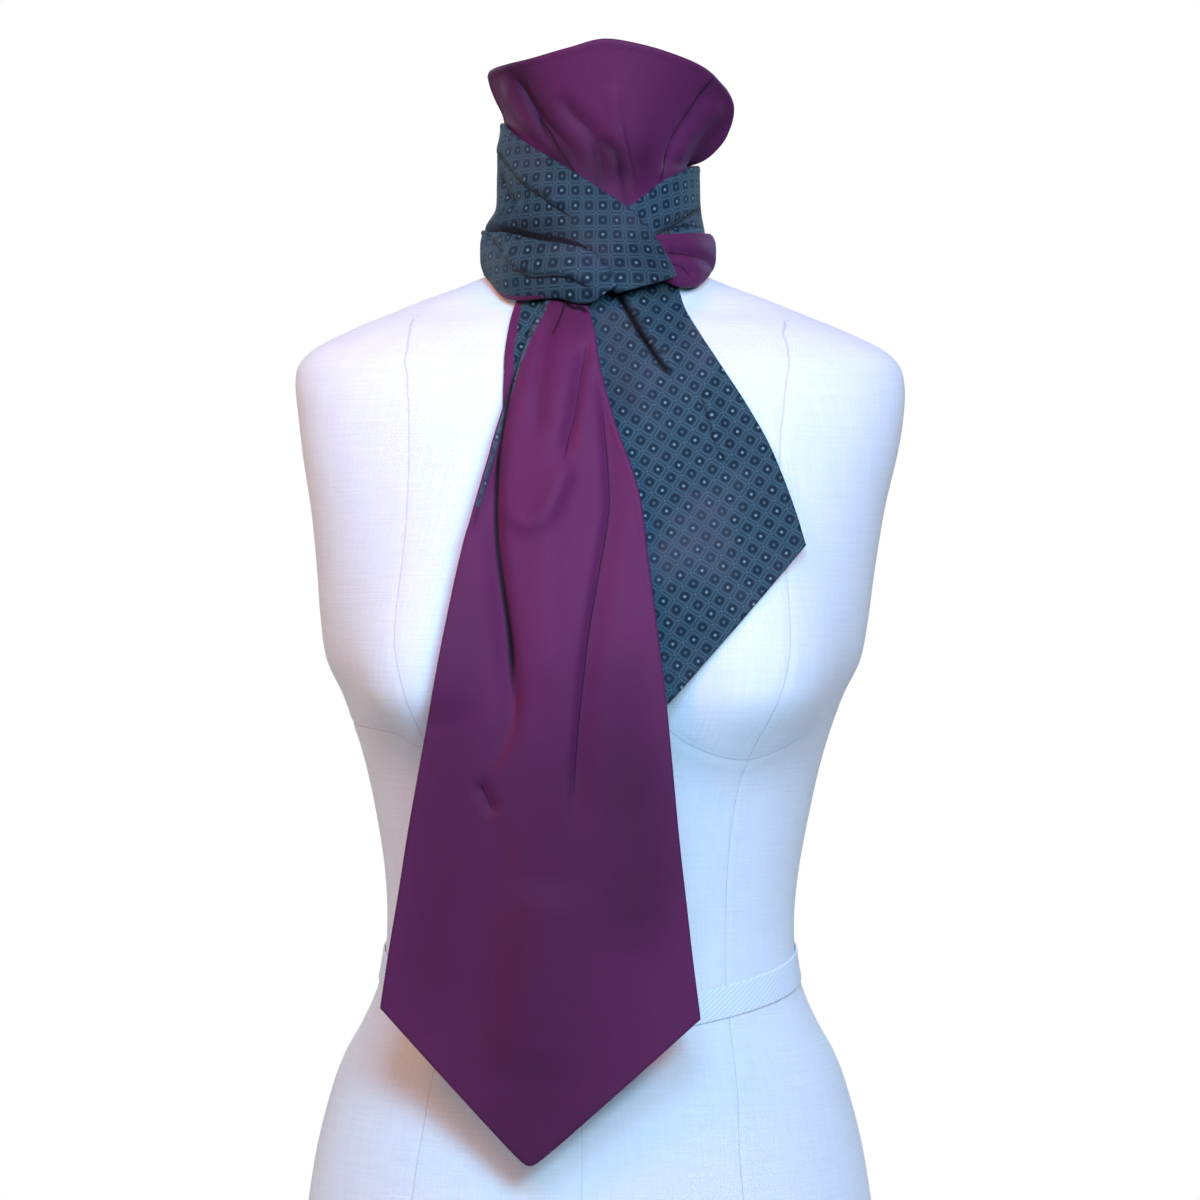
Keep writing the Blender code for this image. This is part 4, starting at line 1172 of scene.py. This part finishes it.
def dress_form(surface):
    """The covered form: torso and neck with sunken seams, closed at its top and underside."""
    height, angle = np.meshgrid(FORM_HEIGHTS, FORM_ANGLES, indexing="ij")
    angle = np.where(angle > 180, angle - 360, angle)
    radius = form_radius(angle, height)
    distances = seam_distances(angle, height)
    for distance in distances.values():
        radius = radius - SEAM_DEPTH * np.exp(-((distance / SEAM_WIDTH) ** 2))
        beside = (abs(distance) - SEAM_BESIDE) / SEAM_BESIDE_WIDTH
        radius = radius + SEAM_DEPTH * np.exp(-(beside**2))
    points = round_form(angle, height, radius)
    rows, sides = angle.shape
    number = np.arange(rows * sides).reshape(rows, sides)
    beyond = np.roll(number, -1, axis=1)
    faces = corners(number[:-1], beyond[:-1], beyond[1:], number[1:]).tolist()
    low, top = rows * sides, rows * sides + 1
    faces += [(first, second, low) for first, second in zip(beyond[0].tolist(), number[0].tolist())]
    faces += [(first, second, top) for first, second in zip(number[-1].tolist(), beyond[-1].tolist())]
    ends = [[points[0, :, 0].mean(), 0.0, 0.0], [0.0, 0.0, NECK_TOP]]
    all_points = np.concatenate([points.reshape(-1, 3), ends])
    made = add_mesh("dress_form_cover", all_points, faces, [surface], np.zeros(len(faces)))
    places = np.stack([np.radians(angle) * LINEN_RADIUS, height], axis=-1).reshape(-1, 2)
    add_coordinates(made.data, np.concatenate([places, [[0, 0], [0, NECK_TOP]]]))
    for group, names in SEAM_GROUPS.items():
        values = np.stack([distances[name] for name in names], axis=-1).reshape(-1, 3)
        add_values(made.data, group, np.concatenate([values, np.full((2, 3), SEAM_REACH)]))
    dress(made, "dress_form")


# The tape's section, as shares of its width from its middle and of its thickness
TAPE_SECTION = ((-0.5, 0.0), (0.5, 0.0), (0.52, 0.4), (0.5, 0.85), (0.46, 1.0), (0.2, 1.0),
                (-0.2, 1.0), (-0.46, 1.0), (-0.5, 0.85), (-0.52, 0.4))
# The tape's points round the waist, and the radius on which its weave lies
TAPE_POINTS = 420
TAPE_RADIUS = 110


def waist_tape(surface):
    """A narrow tape pinned round the waist, lower in front."""
    angle = np.linspace(-180, 180, TAPE_POINTS, endpoint=False)
    arc = np.radians(angle) * TAPE_RADIUS
    facing = np.cos(np.radians(angle))
    middle = TAPE_SIDE_HEIGHT - np.where(facing > 0, TAPE_FRONT_DIP, TAPE_BACK_RISE) * facing
    loops = []
    places = []
    for side, clear in TAPE_SECTION:
        height = middle + side * TAPE_WIDTH
        radius = form_radius(angle, height) + TAPE_CLEARANCE + clear * TAPE_THICKNESS
        loops.append(round_form(angle, height, radius))
        places.append(np.stack([arc, side * TAPE_WIDTH + 0 * arc], axis=-1))
    number = np.arange(len(loops) * TAPE_POINTS).reshape(len(loops), TAPE_POINTS)
    above = np.roll(number, -1, axis=0)
    faces = corners(number, above, np.roll(above, -1, axis=1), np.roll(number, -1, axis=1)).tolist()
    made = add_mesh("waist_tape_cloth", np.concatenate(loops), faces, [surface], np.zeros(len(faces)))
    add_coordinates(made.data, np.concatenate(places))
    dress(made, "waist_tape")


def cravat(plum, printed):
    """Every stretch that shows, each with its outside's and inside's cloth, and a slot name that is not
    used.
    """
    print_out = ((printed, plum), "printed_cloth")
    plum_out = ((plum, printed), "plum_cloth")
    throat_panel(plum_out)
    band("upper_wrap_left", OVER_BAND, over_radius, OVER_FOLDS, print_out, True)
    band("upper_wrap_right", UNDER_BAND, under_radius, UNDER_FOLDS, print_out)
    band("lower_wrap_left", LOWER_PRINT_BAND, lower_print_radius, LOWER_PRINT_FOLDS, print_out, True)
    band("lower_wrap_right", LOWER_PLAIN_BAND, lower_plain_radius, LOWER_PLAIN_FOLDS, plum_out)
    tail("long_tail", LONG_TAIL, LONG_LEAN, long_tail_back, LONG_FOLDS, plum_out)
    tail("short_tail", SHORT_TAIL, SHORT_LEAN, short_tail_back, SHORT_FOLDS, print_out)


FLOOR_RADIUS = 580
FLOOR_SIDES = 128


def pale_floor():
    """A round pale floor under the form, out of the photo's view."""
    surface = bpy.data.materials.new("pale_floor_looks")
    surface.use_nodes = True
    shader = surface.node_tree.nodes["Principled BSDF"]
    shader.inputs["Roughness"].default_value = 0.9
    shader.inputs["Base Color"].default_value = (0.86, 0.86, 0.86, 1)
    turn = np.linspace(0, 2 * math.pi, FLOOR_SIDES, endpoint=False)
    points = np.stack([FLOOR_RADIUS * np.cos(turn), FLOOR_RADIUS * np.sin(turn), 0 * turn], axis=-1)
    add_mesh("floor", points, [list(range(FLOOR_SIDES))], [surface], [0])


# Soft lamps: where each stands and its side, in metres, its power and its colour
LAMPS = by_name(
    ("place", "side", "power", "colour"),
    ("key_lamp", (0.4, -1.3, 0.95), 0.4, 16.8, (0.30, 0.71, 1.0)),
    ("front_lamp", (0.0, -1.0, 1.1), 0.4, 9.3, (0.29, 0.54, 1.0)),
    ("left_lamp", (-0.6, -0.8, 1.1), 0.35, 4.9, (1.0, 0.34, 0.05)),
    ("right_lamp", (0.6, -0.8, 1.1), 0.35, 3.8, (1.0, 0.16, 0.02)),
    ("side_lamp", (-1.0, -0.4, 0.8), 0.35, 2.3, (1.0, 0.91, 0.87)),
    ("back_left_lamp", (-1.2, 0.9, 1.1), 0.6, 9.0, (0.5, 0.8, 1.0)),
    ("back_right_lamp", (1.2, 0.9, 1.1), 0.6, 9.0, (0.5, 0.8, 1.0)),
    ("back_lamp", (0.0, 1.8, 1.2), 1.0, 24.0, (1.0, 0.95, 0.9)),
)
LIT_AT = (0.0, 0.0, 0.5)
SURROUND_COLOUR = (0.7, 0.8, 1.0, 1)
SURROUND_LIGHT = 0.01


def lamps():
    for name, row in LAMPS.items():
        light = bpy.data.lights.new(name, "AREA")
        light.size = row["side"]
        light.energy = row["power"]
        light.color = row["colour"]
        made = bpy.data.objects.new(name, light)
        made.location = row["place"]
        made.rotation_euler = (Vector(LIT_AT) - made.location).to_track_quat("-Z", "Y").to_euler()
        bpy.context.scene.collection.objects.link(made)


def white_surround():
    """A white backdrop all round, which lights the object only softly."""
    world = bpy.data.worlds.new("surround")
    world.use_nodes = True
    tree = world.node_tree
    soft = tree.nodes["Background"]
    soft.inputs["Color"].default_value = SURROUND_COLOUR
    soft.inputs["Strength"].default_value = SURROUND_LIGHT
    white = node(tree, "ShaderNodeBackground", {"Color": (1, 1, 1, 1), "Strength": 1.0}).outputs[0]
    seen = node(tree, "ShaderNodeLightPath").outputs["Is Camera Ray"]
    both = node(tree, "ShaderNodeMixShader", {0: seen, 1: soft.outputs[0], 2: white})
    tree.links.new(both.outputs[0], tree.nodes["World Output"].inputs["Surface"])
    bpy.context.scene.world = world


# The photo's view is level, from the front. Its focal length is in pixels of the photo's width.
CAMERA_PLACE = (0.0024, -1.8, 0.483)
FOCAL_PIXELS = 2982
PHOTO_WIDTH = 1200
SENSOR_WIDTH = 36


def camera():
    lens = bpy.data.cameras.new("camera")
    lens.sensor_width = SENSOR_WIDTH
    lens.lens = SENSOR_WIDTH * FOCAL_PIXELS / PHOTO_WIDTH
    made = bpy.data.objects.new("camera", lens)
    made.location = CAMERA_PLACE
    made.rotation_euler = (math.radians(90), 0, 0)
    bpy.context.scene.collection.objects.link(made)
    bpy.context.scene.camera = made


def build():
    bpy.context.scene.view_settings.view_transform = "Standard"
    camera()
    lamps()
    white_surround()
    pale_floor()
    dress_form(material("linen_cover", linen_looks))
    waist_tape(material("cotton_tape", tape_looks))
    cravat(material("plum_cloth", plum_looks), material("printed_cloth", print_looks))


build()
